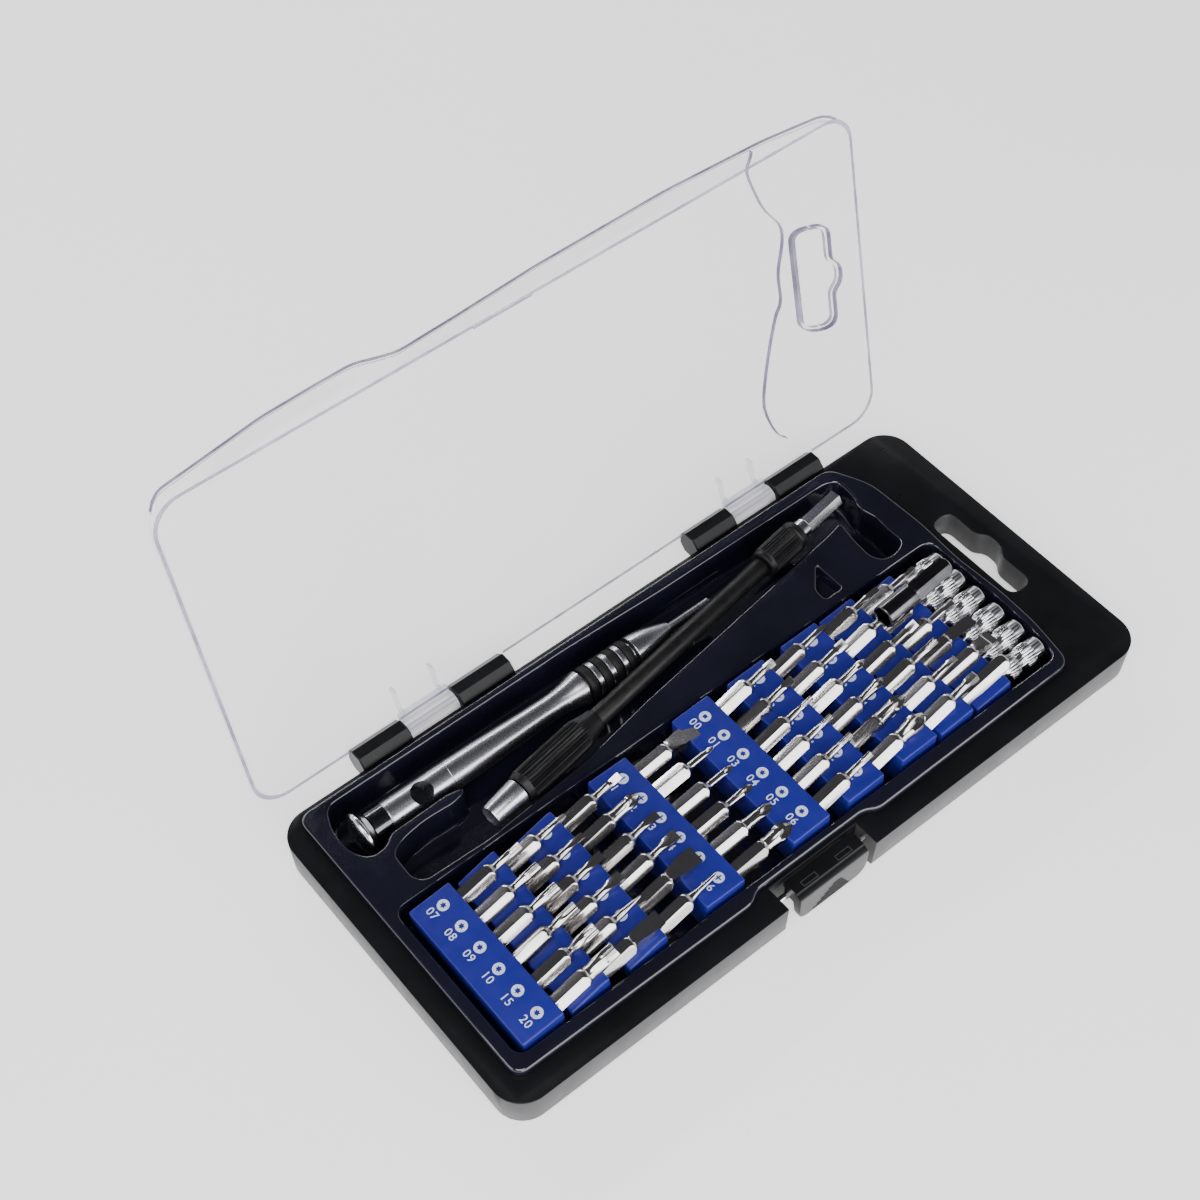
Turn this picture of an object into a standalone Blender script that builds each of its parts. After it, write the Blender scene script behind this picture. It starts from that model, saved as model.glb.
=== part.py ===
"""Precision screwdriver set in a hinged pocket case, open.

Units: sizes are given in millimetres and turned into metres where meshes are made.
Frame: X runs along the case, Y from the latch to the hinge, Z up.
The origin is the centre of the underside of the base.
"""

import math

import bmesh
import bpy
from mathutils import Matrix, Vector

MM = 0.001
SET_NAME = "precision_screwdriver_set"

# Case
CASE_LENGTH = 185.0
CASE_DEPTH = 86.0
BASE_HEIGHT = 10.0
CORNER_RADIUS = 7.3
FLOOR = 1.6
GAP = 0.3
HALF_X = CASE_LENGTH / 2
HALF_Y = CASE_DEPTH / 2

# Hinge
HINGE_Y = 45.85
HINGE_Z = 9.19
LID_OPEN_DEG = 103.5
BASE_KNUCKLE_R = 3.6
LID_KNUCKLE_R = 2.6
HINGE_PIN_R = 1.0
RUNNING = 0.08
HINGE_STATIONS = {
    "left": {"base": ((-68.5, -55.0), (-41.0, -26.0)), "lid": (-54.7, -41.3)},
    "right": {"base": ((29.3, 42.2), (55.5, 70.6)), "lid": (42.5, 55.2)},
}

# Latch
LATCH_X = (-15.2, 4.6)
LATCH_FRONT = -43.2
LATCH_BACK = -39.9
LATCH_PIVOT = (-39.0, 7.1)
LATCH_PIN_R = 0.75
NOTCH_X = (-18.8, 6.8)
NOTCH_BACK = -36.5
CATCH_X = (-13.7, 1.6)

# Tray insert
TRAY_TOP = 12.0
TRAY_SKIN = 1.0
POCKET_FLOOR = 3.1

# Hang slot
SLOT_NEAR_X = 78.4
SLOT_FAR_X = 84.8
SLOT_BUMP_X = 87.0
SLOT_FRONT_Y = -14.4
SLOT_BACK_Y = 13.2

# Lid
LID_RIM_Z = 10.3
LID_WALL = 1.4
LID_RISE = 6.3
LID_EDGE_PROFILE = (
    (-92.5, 12.4), (-88.4, 15.8), (-75.0, 17.8), (-60.4, 20.1), (-46.4, 20.5),
    (-37.6, 20.5), (-33.7, 18.4), (-29.0, 16.4), (-22.4, 16.8), (-13.3, 17.2),
    (8.0, 18.6), (44.3, 19.0), (64.7, 17.7), (71.8, 17.2), (80.8, 15.6), (92.5, 13.4),
)

# Bits: 4 mm hex shanks
HEX_AF = 4.0
HEX_HOLE_AF = 4.64
BIT_PITCH = 6.4
BITS_PER_ROW = 6
BIT_EXPOSED = 17.0
BIT_HEX_EXPOSED = 9.2
BIT_TIP_R = 1.3
BIT_NECK_R = 0.95

# One line per holder: right edge x, top z there, slope of the top, width, chamfer at the left,
# ends in y, the bits' slope, how far their axis lies under the top, and how deep they sit.
HOLDERS = (
    {"x": -71.9, "z": 14.2, "slope": 6, "width": 10.8, "chamfer": 0.0, "y": (-33.0, 6.4),
     "bit_slope": 18, "under": 2.9, "depth": 8.6, "shift": 0.0},
    {"x": -59.9, "z": 14.2, "slope": 8, "width": 10.4, "chamfer": 1.8, "y": (-33.0, 6.4),
     "bit_slope": 18, "under": 3.55, "depth": 8.6, "shift": 0.0},
    {"x": -44.4, "z": 14.2, "slope": 8, "width": 10.4, "chamfer": 1.8, "y": (-33.0, 6.4),
     "bit_slope": 18, "under": 2.9, "depth": 8.6, "shift": 0.0},
    {"x": -22.6, "z": 13.5, "slope": 0, "width": 10.8, "chamfer": 0.0, "y": (-33.0, 7.2),
     "bit_slope": 10, "under": 2.9, "depth": 8.6, "shift": 0.3},
    {"x": 2.0, "z": 14.2, "slope": 4, "width": 10.8, "chamfer": 0.0, "y": (-33.0, 7.8),
     "bit_slope": 20, "under": 2.9, "depth": 8.6, "shift": 1.0},
    {"x": 18.2, "z": 14.2, "slope": 3, "width": 10.8, "chamfer": 0.0, "y": (-33.0, 7.4),
     "bit_slope": 20, "under": 2.9, "depth": 8.6, "shift": 1.0},
    {"x": 34.5, "z": 14.2, "slope": 2, "width": 10.8, "chamfer": 0.0, "y": (-33.0, 7.4),
     "bit_slope": 20, "under": 2.6, "depth": 8.6, "shift": 1.0},
    {"x": 46.0, "z": 13.8, "slope": 6, "width": 10.2, "chamfer": 0.0, "y": (-33.0, 7.4),
     "bit_slope": 14, "under": 3.0, "depth": 3.6, "shift": 1.0},
    {"x": 57.9, "z": 13.6, "slope": 11, "width": 10.6, "chamfer": 0.0, "y": (-33.0, 6.6),
     "bit_slope": 5, "under": 4.9, "depth": 2.8, "shift": 0.9},
)
HOLDER_MIDDLE_Y = -13.3
MODELLED_ROWS = (1, 4, 5, 8)
SOCKET_HEAD_R = 3.0
SOCKET_HEAD = (2.0, 13.4)

# Driver
DRIVER_Y = 30.3
DRIVER_Z = 9.0
O_RING_X = (-14.8, -10.9, -7.4, -3.6)
CROSS_HOLE_X = -62.5
CROSS_HOLE_R = 2.7
CROSS_HOLE_TILT_DEG = 25.0

# Extension, from its socket end
EXTENSION_START = Vector((-54.5, 14.65, 11.5))
EXTENSION_YAW_DEG = 8.76

# Adapter
ADAPTER_START = Vector((44.4, -4.3, 19.6))
ADAPTER_YAW_DEG = 4.3

TURN_STEPS = 20


# ---------------------------------------------------------------- scene and helpers

def clear_scene():
    for obj in list(bpy.data.objects):
        bpy.data.objects.remove(obj, do_unlink=True)


def new_collection(name):
    collection = bpy.data.collections.new(name)
    bpy.context.scene.collection.children.link(collection)
    return collection


def material(name, colour, roughness, metallic=0.0, transmission=0.0):
    result = bpy.data.materials.new(name)
    result.use_nodes = True
    shader = result.node_tree.nodes["Principled BSDF"]
    shader.inputs["Base Color"].default_value = (*colour, 1.0)
    shader.inputs["Roughness"].default_value = roughness
    shader.inputs["Metallic"].default_value = metallic
    shader.inputs["Transmission Weight"].default_value = transmission
    return result


def finish(obj, collection, look=None, smooth=True):
    """Put an object in its collection, with its material and shading."""
    collection.objects.link(obj)
    if collection is CUTTERS:
        obj.hide_render = True
        obj.display_type = "WIRE"
    if look:
        obj.data.materials.append(look)
    if smooth:
        obj.data.shade_smooth()
        obj.data.set_sharp_from_angle(angle=math.radians(35))
    return obj


def object_from(name, bm, collection, look=None, place=None):
    """Scale a millimetre bmesh to metres and make an object of it."""
    bmesh.ops.scale(bm, vec=Vector((MM, MM, MM)), verts=bm.verts)
    bmesh.ops.recalc_face_normals(bm, faces=bm.faces)
    mesh = bpy.data.meshes.new(name)
    bm.to_mesh(mesh)
    bm.free()
    obj = bpy.data.objects.new(name, mesh)
    if place:
        obj.matrix_world = place
    return finish(obj, collection, look)


def cutter(name, bm, place=None):
    return object_from(name, bm, CUTTERS, None, place)


def boolean(obj, other, operation):
    modifier = obj.modifiers.new(other.name, "BOOLEAN")
    modifier.operation = operation
    modifier.solver = "EXACT"
    modifier.object = other
    return modifier


def add_box(bm, low, high):
    low = Vector(low)
    high = Vector(high)
    size = high - low
    place = Matrix.Translation((low + high) / 2) @ Matrix.Diagonal((*size, 1.0))
    bmesh.ops.create_cube(bm, size=1.0, matrix=place)


def box(low, high):
    bm = bmesh.new()
    add_box(bm, low, high)
    return bm


def add_rod_x(bm, x, radius, y=0.0, z=0.0, steps=TURN_STEPS, turn=0.0):
    """A rod along X, from x[0] to x[1]."""
    place = Matrix.Translation(((x[0] + x[1]) / 2, y, z))
    place = place @ Matrix.Rotation(math.radians(turn), 4, "X") @ Matrix.Rotation(math.pi / 2, 4, "Y")
    bmesh.ops.create_cone(
        bm, cap_ends=True, segments=steps, radius1=radius, radius2=radius,
        depth=x[1] - x[0], matrix=place,
    )


def rod_x(x, radius, y=0.0, z=0.0, steps=TURN_STEPS, turn=0.0):
    bm = bmesh.new()
    add_rod_x(bm, x, radius, y, z, steps, turn)
    return bm


def turned(name, profile, look, place, steps=TURN_STEPS):
    """A turned piece about X: its profile is (x, radius) from the left end to the right."""
    bm = bmesh.new()
    points = [(x * MM, radius * MM) for x, radius in profile]
    corners = [bm.verts.new((radius, 0.0, -x)) for x, radius in points]
    for first, second in zip(corners, corners[1:]):
        bm.edges.new((first, second))
    mesh = bpy.data.meshes.new(name)
    bm.to_mesh(mesh)
    bm.free()
    obj = bpy.data.objects.new(name, mesh)
    screw = obj.modifiers.new("turn", "SCREW")
    screw.steps = steps
    screw.render_steps = steps
    screw.use_merge_vertices = True
    screw.merge_threshold = 0.00001
    screw.use_smooth_shade = False
    obj.matrix_world = place @ Matrix.Rotation(-math.pi / 2, 4, "Y")
    return finish(obj, PARTS, look)


def arc(centre, radius, start, end, steps):
    """Points on an arc, angles in degrees."""
    angles = [math.radians(start + (end - start) * i / steps) for i in range(steps + 1)]
    return [(centre[0] + radius * math.cos(a), centre[1] + radius * math.sin(a)) for a in angles]


def rounded_rectangle(half_x, half_y, radius, steps=6):
    corners = (
        (half_x - radius, half_y - radius, 0), (radius - half_x, half_y - radius, 90),
        (radius - half_x, radius - half_y, 180), (half_x - radius, radius - half_y, 270),
    )
    points = []
    for x, y, start in corners:
        points += arc((x, y), radius, start, start + 90, steps)
    return points


def offset(points, distance):
    """Move a counter-clockwise outline outward by a distance, with mitred corners."""
    result = []
    count = len(points)
    for i in range(count):
        before = Vector(points[i - 1])
        here = Vector(points[i])
        after = Vector(points[(i + 1) % count])
        first = (here - before).normalized()
        second = (after - here).normalized()
        normal = Vector((first.y + second.y, -first.x - second.x)).normalized()
        stretch = max(0.5, normal.dot(Vector((first.y, -first.x))))
        result.append(tuple(here + normal * (distance / stretch)))
    return result


def rounded(points, radius, steps=3):
    """Round every corner of an outline."""
    result = []
    count = len(points)
    for i in range(count):
        here = Vector(points[i])
        before = Vector(points[i - 1]) - here
        after = Vector(points[(i + 1) % count]) - here
        reach = min(radius, before.length * 0.45, after.length * 0.45)
        start = here + before.normalized() * reach
        end = here + after.normalized() * reach
        for k in range(steps + 1):
            t = k / steps
            point = start * (1 - t) ** 2 + here * 2 * t * (1 - t) + end * t ** 2
            result.append(tuple(point))
    return result


def plate(name, outline, low, high, collection, look=None):
    """A flat outline with a thickness: a filled 2D curve made into a closed mesh."""
    curve = bpy.data.curves.new(name, "CURVE")
    curve.dimensions = "2D"
    curve.fill_mode = "BOTH"
    curve.extrude = (high - low) / 2 * MM
    spline = curve.splines.new("POLY")
    spline.points.add(len(outline) - 1)
    spline.use_cyclic_u = True
    for point, (x, y) in zip(spline.points, outline):
        point.co = (x * MM, y * MM, 0.0, 1.0)
    source = bpy.data.objects.new(name + "_outline", curve)
    source.location.z = (low + high) / 2 * MM
    bpy.context.scene.collection.objects.link(source)
    bpy.context.view_layer.update()
    graph = bpy.context.evaluated_depsgraph_get()
    mesh = bpy.data.meshes.new_from_object(source.evaluated_get(graph))
    mesh.name = name
    bm = bmesh.new()
    bm.from_mesh(mesh)
    bmesh.ops.remove_doubles(bm, verts=bm.verts, dist=0.00001)
    bmesh.ops.recalc_face_normals(bm, faces=bm.faces)
    bm.to_mesh(mesh)
    bm.free()
    obj = bpy.data.objects.new(name, mesh)
    obj.matrix_world = source.matrix_world.copy()
    bpy.data.objects.remove(source)
    return finish(obj, collection, look)


def joint_empty(name, x, y, z):
    """An empty on a joint's axis, which carries the pieces that move together."""
    empty = bpy.data.objects.new(name, None)
    empty.location = (x * MM, y * MM, z * MM)
    empty.empty_display_size = 5 * MM
    PARTS.objects.link(empty)
    return empty


def carry(empty, *pieces):
    """Parent pieces to an empty and keep them where they are."""
    bpy.context.view_layer.update()
    for piece in pieces:
        piece.parent = empty
        piece.matrix_parent_inverse = empty.matrix_world.inverted()


# ---------------------------------------------------------------- outlines of the case

def lip_outline():
    """The tray insert's outer lip."""
    return rounded(
        [(-87.5, 41.3), (-87.5, -37.2), (-24.5, -37.7), (-21.5, -35.8), (9.5, -35.8),
         (12.5, -37.7), (73.4, -37.2), (75.7, -24.0), (76.1, -12.0), (75.3, 1.0),
         (76.1, 14.0), (75.3, 31.0), (70.2, 41.3)], 3.5)


def bit_pocket():
    return rounded(
        [(-84.3, 9.0), (-84.3, -33.7), (72.2, -33.7), (73.6, -24.0), (74.0, -12.0), (73.4, 9.0)], 3.0)


def tool_pocket():
    return rounded(
        [(-80.8, 39.3), (-83.3, 33.0), (-83.2, 27.0), (-80.6, 23.0), (-76.4, 23.2),
         (-74.0, 25.2), (-58.0, 25.5), (-53.5, 22.0), (-57.5, 10.6), (-30.0, 12.8),
         (-10.0, 16.4), (58.0, 26.0), (68.6, 29.4), (68.6, 37.6), (14.0, 38.2), (-14.0, 39.2)], 2.5)


def accessory_pocket():
    return rounded(
        [(-76.2, 20.6), (-76.4, 13.4), (-74.7, 11.2), (-56.0, 11.4), (-51.0, 19.8),
         (-57.8, 22.4), (-66.0, 22.9), (-72.0, 22.2)], 1.5)


def adapter_pocket():
    return rounded([(61.2, 24.6), (60.6, 13.4), (66.0, 12.6), (68.3, 14.6), (68.3, 26.6)], 1.8)


def slot_outline():
    """The hang slot: straight on the inner side, with a bump for a hook on the outer side."""
    return rounded(
        [(SLOT_NEAR_X, SLOT_BACK_Y), (SLOT_NEAR_X, SLOT_FRONT_Y), (SLOT_FAR_X, SLOT_FRONT_Y),
         (SLOT_FAR_X, -4.6), (SLOT_BUMP_X, -2.2), (SLOT_BUMP_X, 1.7), (SLOT_FAR_X, 4.1),
         (SLOT_FAR_X, SLOT_BACK_Y)], 2.8)


# ---------------------------------------------------------------- base

def make_base():
    outline = rounded_rectangle(HALF_X, HALF_Y, CORNER_RADIUS)
    base = plate("base_shell", outline, 0.0, BASE_HEIGHT, PARTS, BLACK_PLASTIC)
    cavity = plate("cavity", offset(lip_outline(), -0.6), FLOOR, BASE_HEIGHT + 3, CUTTERS)
    boolean(base, cavity, "DIFFERENCE")

    wall = 1.8
    hollow = rounded(
        [(77.6, 38.0), (78.0, 14.0), (77.6, 0.0), (78.0, -10.0), (77.8, -20.0),
         (75.6, -HALF_Y + wall), (HALF_X - wall, -HALF_Y + wall), (HALF_X - wall, HALF_Y - wall),
         (74.6, HALF_Y - wall)], 3.0)
    handle = plate("handle_hollow", hollow, -2.0, BASE_HEIGHT - FLOOR, CUTTERS)
    tunnel = plate("slot_tunnel", offset(slot_outline(), 1.5), -4.0, BASE_HEIGHT + 2, CUTTERS)
    boolean(handle, tunnel, "DIFFERENCE")
    boolean(base, handle, "DIFFERENCE")
    slot = plate("hang_slot", slot_outline(), -5.0, BASE_HEIGHT + 5, CUTTERS)
    boolean(base, slot, "DIFFERENCE")

    notch = cutter("latch_notch", box((NOTCH_X[0], -50, -2), (NOTCH_X[1], NOTCH_BACK, 14)))
    boolean(base, notch, "DIFFERENCE")
    seat = rod_x((NOTCH_X[0] - 2.2, NOTCH_X[1] + 2.2), LATCH_PIN_R + RUNNING, *LATCH_PIVOT, steps=12)
    boolean(base, cutter("latch_pin_seat", seat), "DIFFERENCE")

    for side, station in HINGE_STATIONS.items():
        for i, span in enumerate(station["base"]):
            knuckle = rod_x(span, BASE_KNUCKLE_R, HINGE_Y, HINGE_Z, steps=8, turn=22.5)
            boolean(base, cutter(f"base_knuckle_{side}_{i}", knuckle), "UNION")
        ends = station["base"][0][0] + 1.2, station["base"][1][1] - 1.2
        bore = rod_x(ends, HINGE_PIN_R + RUNNING, HINGE_Y, HINGE_Z, steps=16)
        boolean(base, cutter(f"base_bore_{side}", bore), "DIFFERENCE")
        pin_ends = (ends[0] + GAP, ends[1] - GAP)
        pin = rod_x(pin_ends, HINGE_PIN_R, HINGE_Y, HINGE_Z, steps=16)
        object_from(f"hinge_pin_{side}", pin, PARTS, STEEL)
    return base


def make_tray():
    outline = lip_outline()
    tray = plate("tray_insert", outline, BASE_HEIGHT + GAP, TRAY_TOP, PARTS, TRAY_PLASTIC)
    pockets = {
        "bit": bit_pocket(), "tool": tool_pocket(),
        "accessory": accessory_pocket(), "adapter": adapter_pocket(),
    }
    low = POCKET_FLOOR - TRAY_SKIN
    for name, pocket in pockets.items():
        tub = plate(f"{name}_tub", offset(pocket, TRAY_SKIN), low, TRAY_TOP - 0.5, CUTTERS)
        boolean(tray, tub, "UNION")
    for name, pocket in pockets.items():
        inside = plate(f"{name}_pocket", pocket, POCKET_FLOOR, TRAY_TOP + 2, CUTTERS)
        boolean(tray, inside, "DIFFERENCE")
    return tray


# ---------------------------------------------------------------- latch

def make_latch():
    y, z = LATCH_PIVOT
    left, right = LATCH_X
    bm = bmesh.new()
    add_box(bm, (left, LATCH_FRONT, 2.4), (right, -41.1, 8.8))
    latch = object_from("latch", bm, PARTS, BLACK_PLASTIC)
    pieces = {
        "latch_back": box((left, -41.2, 2.4), (right, LATCH_BACK, BASE_HEIGHT)),
        "latch_lug": box((left, -41.0, 5.6), (right, -37.6, 8.6)),
        "latch_tooth_left": box((-12.5, -41.2, 9.0), (-8.0, -40.2, 12.0)),
        "latch_tooth_right": box((-3.0, -41.2, 9.0), (1.5, -40.2, 12.0)),
    }
    for name, piece in pieces.items():
        boolean(latch, cutter(name, piece), "UNION")
    bore = rod_x((left - 1, right + 1), LATCH_PIN_R + RUNNING, y, z, steps=12)
    boolean(latch, cutter("latch_bore", bore), "DIFFERENCE")
    ends = (NOTCH_X[0] - 2.2 + GAP, NOTCH_X[1] + 2.2 - GAP)
    pin = rod_x(ends, LATCH_PIN_R, y, z, steps=12)
    object_from("latch_pin", pin, PARTS, STEEL)
    carry(joint_empty("latch_axis", 0.0, y, z), latch)


# ---------------------------------------------------------------- lid

def smoothstep(t):
    t = min(1.0, max(0.0, t))
    return t * t * (3 - 2 * t)


def edge_height(x):
    """Height of the lid's top edge along its front and back."""
    for (x0, z0), (x1, z1) in zip(LID_EDGE_PROFILE, LID_EDGE_PROFILE[1:]):
        if x <= x1:
            return z0 + (z1 - z0) * (x - x0) / (x1 - x0)
    return LID_EDGE_PROFILE[-1][1]


def half_depth(x):
    """Half the lid's depth at x, with its rounded corners."""
    past = abs(x) - (HALF_X - CORNER_RADIUS)
    if past <= 0:
        return HALF_Y
    drop = CORNER_RADIUS - math.sqrt(max(0.0, CORNER_RADIUS ** 2 - past ** 2))
    return HALF_Y - drop


def lid_stations():
    """X stations of the lid: its profile's corners, and closer ones round its ends."""
    xs = {x for x, _ in LID_EDGE_PROFILE}
    xs |= {26.0, 55.0, -52.0, -67.0, -3.0}
    for k in range(1, 5):
        turn = math.radians(90 * k / 5)
        xs.add(round(HALF_X - CORNER_RADIUS * (1 - math.sin(turn)), 2))
        xs.add(round(CORNER_RADIUS * (1 - math.sin(turn)) - HALF_X, 2))
    return sorted(x for x in xs if abs(x) < 85 or abs(abs(x) - 88.4) > 0.1)


def lid_surface():
    """The lid's outer skin, closed, as an open surface: a crowned panel and its side walls."""
    insets = (0.0, 3.0, 6.0, 9.0, 12.0)
    bm = bmesh.new()
    rows = []
    for x in lid_stations():
        depth = half_depth(x)
        ys = [inset - depth for inset in insets] + [0.0] + [depth - inset for inset in reversed(insets)]
        taper = smoothstep((86.0 - abs(x)) / 18.0)
        row = []
        for y in ys:
            rise = LID_RISE * taper * smoothstep((depth - abs(y)) / insets[-1])
            row.append(bm.verts.new((x, y, edge_height(x) + rise)))
        rows.append(row)
    for left, right in zip(rows, rows[1:]):
        for k in range(len(left) - 1):
            bm.faces.new((left[k], right[k], right[k + 1], left[k + 1]))
    edges = [edge for edge in bm.edges if edge.is_boundary]
    made = bmesh.ops.extrude_edge_only(bm, edges=edges)["geom"]
    for vert in made:
        if isinstance(vert, bmesh.types.BMVert):
            vert.co.z = LID_RIM_Z
    for vert in bm.verts:
        vert.co.y -= HINGE_Y
        vert.co.z -= HINGE_Z
    return bm


def lid_cutter(name, bm, place):
    """A cutter drawn on the closed lid, in the case's frame, and opened with it."""
    bmesh.ops.translate(bm, vec=Vector((0, -HINGE_Y, -HINGE_Z)), verts=bm.verts)
    return cutter(name, bm, place)


def prism(outline, low, high):
    """An upright prism on an outline, as a bmesh."""
    bm = bmesh.new()
    face = bm.faces.new([bm.verts.new((x, y, low)) for x, y in outline])
    made = bmesh.ops.extrude_face_region(bm, geom=[face])["geom"]
    top = [item for item in made if isinstance(item, bmesh.types.BMVert)]
    bmesh.ops.translate(bm, vec=Vector((0, 0, high - low)), verts=top)
    return bm


def make_lid():
    place = Matrix.Translation((0, HINGE_Y * MM, HINGE_Z * MM))
    place = place @ Matrix.Rotation(-math.radians(LID_OPEN_DEG), 4, "X")
    lid = object_from("lid", lid_surface(), PARTS, CLEAR_PLASTIC, place)
    solid = lid.modifiers.new("wall", "SOLIDIFY")
    solid.thickness = LID_WALL * MM
    solid.offset = -1.0
    solid.use_even_offset = True
    slot = lid_cutter("lid_slot", prism(slot_outline(), 5, 35), place)
    boolean(lid, slot, "DIFFERENCE")
    tab = box((CATCH_X[0], -HALF_Y, 9.6), (CATCH_X[1], -HALF_Y + LID_WALL, 12.0))
    boolean(lid, lid_cutter("catch_tab", tab, place), "UNION")
    window = box((CATCH_X[0] + 1.2, -50, 11.6), (CATCH_X[1] - 1.2, -39, 13.2))
    boolean(lid, lid_cutter("catch_window", window, place), "DIFFERENCE")
    for side, station in HINGE_STATIONS.items():
        for i, (x0, x1) in enumerate(station["base"]):
            x0, x1 = (x0 - GAP, station["lid"][0]) if i == 0 else (station["lid"][1], x1 + GAP)
            relief = rod_x((x0, x1), BASE_KNUCKLE_R + 0.4, HINGE_Y, HINGE_Z, steps=16)
            boolean(lid, lid_cutter(f"lid_relief_{side}_{i}", relief, place), "DIFFERENCE")
        knuckle = rod_x(station["lid"], LID_KNUCKLE_R, HINGE_Y, HINGE_Z, steps=16)
        boolean(lid, lid_cutter(f"lid_knuckle_{side}", knuckle, place), "UNION")
        x0, x1 = station["lid"]
        arm = box((x0, 41.9, LID_RIM_Z + 0.1), (x1, HINGE_Y - 0.4, 11.65))
        boolean(lid, lid_cutter(f"lid_arm_{side}", arm, place), "UNION")
        bore = rod_x((x0 - 1, x1 + 1), HINGE_PIN_R + RUNNING, HINGE_Y, HINGE_Z, steps=16)
        boolean(lid, lid_cutter(f"lid_bore_{side}", bore, place), "DIFFERENCE")
    return lid


# ---------------------------------------------------------------- holders and bits

def bit_place(holder, index):
    """Where a bit leaves its holder: X along the bit, from the holder's right face."""
    slope = math.radians(holder["slope"])
    x = holder["x"] + holder["under"] * math.sin(slope)
    z = holder["z"] - holder["under"] * math.cos(slope)
    y = HOLDER_MIDDLE_Y + holder["shift"] + (BITS_PER_ROW / 2 - 0.5 - index) * BIT_PITCH
    place = Matrix.Translation((x * MM, y * MM, z * MM))
    return place @ Matrix.Rotation(-math.radians(holder["bit_slope"]), 4, "Y")


def hexagon(bm, x, across_flats):
    """A hexagonal bar along X with a flat on top."""
    add_rod_x(bm, x, across_flats / math.sqrt(3), steps=6, turn=0.0)


def make_holder(number, holder):
    slope = math.radians(holder["slope"])
    width = holder["width"]
    left_top = holder["z"] - width * math.sin(slope)
    height = (left_top - POCKET_FLOOR - GAP) / math.cos(slope)
    chamfer = holder["chamfer"]
    section = [(0.0, 0.0), (0.0, -height), (-width, -height), (-width, -chamfer), (-chamfer, 0.0)]
    if not chamfer:
        section = section[:3] + [(-width, 0.0)]
    y0, y1 = holder["y"]
    bm = bmesh.new()
    face = bm.faces.new([bm.verts.new((x, y0, z)) for x, z in section])
    made = bmesh.ops.extrude_face_region(bm, geom=[face])["geom"]
    back = [item for item in made if isinstance(item, bmesh.types.BMVert)]
    bmesh.ops.translate(bm, vec=Vector((0, y1 - y0, 0)), verts=back)
    place = Matrix.Translation((holder["x"] * MM, 0.0, holder["z"] * MM))
    place = place @ Matrix.Rotation(-slope, 4, "Y")
    bar = object_from(f"bit_holder_{number}", bm, PARTS, BLUE_PLASTIC, place)
    for index in range(BITS_PER_ROW):
        bm = bmesh.new()
        hexagon(bm, (-holder["depth"] - GAP, 4.0), HEX_HOLE_AF)
        hole = cutter(f"bit_hole_{number}_{index + 1}", bm, bit_place(holder, index))
        boolean(bar, hole, "DIFFERENCE")
    return bar


def make_grooves(bar, previous):
    """Grooves, open upward, for the bits that reach over this holder from the one before it."""
    half = HEX_AF / math.sqrt(3) + 0.35
    reach = BIT_EXPOSED + 1.0
    for index in range(BITS_PER_ROW):
        groove = box((-1.0, -half, -half + 0.05), (reach, half, 14.0))
        name = f"groove_{bar.name}_{index + 1}"
        boolean(bar, cutter(name, groove, bit_place(previous, index)), "DIFFERENCE")


def make_bit(row, index, holder):
    """A bit: a hexagonal shank, and a turned neck and tip joined to it."""
    bm = bmesh.new()
    hexagon(bm, (-holder["depth"], BIT_HEX_EXPOSED), HEX_AF)
    bit = object_from(f"bit_{row}_{index + 1}", bm, PARTS, STEEL, bit_place(holder, index))
    bm = bmesh.new()
    neck = BIT_HEX_EXPOSED - 0.5
    place = Matrix.Translation(((neck + BIT_EXPOSED) / 2, 0, 0)) @ Matrix.Rotation(math.pi / 2, 4, "Y")
    bmesh.ops.create_cone(
        bm, cap_ends=True, segments=8, radius1=BIT_NECK_R + 0.2, radius2=BIT_TIP_R - 0.3,
        depth=BIT_EXPOSED - neck, matrix=place,
    )
    tip = cutter(f"bit_tip_{row}_{index + 1}", bm, bit_place(holder, index))
    boolean(bit, tip, "UNION")
    return bit


def make_nut_socket(index, holder):
    """A nut driver: a hexagonal shank and a round head with a hexagonal mouth."""
    place = bit_place(holder, index)
    bm = bmesh.new()
    hexagon(bm, (-holder["depth"], SOCKET_HEAD[0] + 0.5), HEX_AF)
    socket = object_from(f"nut_socket_{index + 1}", bm, PARTS, CHROME, place)
    head = cutter(f"socket_head_{index + 1}", rod_x(SOCKET_HEAD, SOCKET_HEAD_R, steps=16), place)
    boolean(socket, head, "UNION")
    bm = bmesh.new()
    hexagon(bm, (SOCKET_HEAD[1] - 4.0, SOCKET_HEAD[1] + 1), 3.0 + 0.3 * index)
    boolean(socket, cutter(f"socket_mouth_{index + 1}", bm, place), "DIFFERENCE")


def make_rows():
    previous = None
    for number, holder in enumerate(HOLDERS, 1):
        bar = make_holder(number, holder)
        if previous:
            make_grooves(bar, previous)
        for index in range(BITS_PER_ROW):
            if number in MODELLED_ROWS:
                make_bit(number, index, holder)
            elif number == len(HOLDERS):
                make_nut_socket(index, holder)
        previous = holder


# ---------------------------------------------------------------- tools

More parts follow.
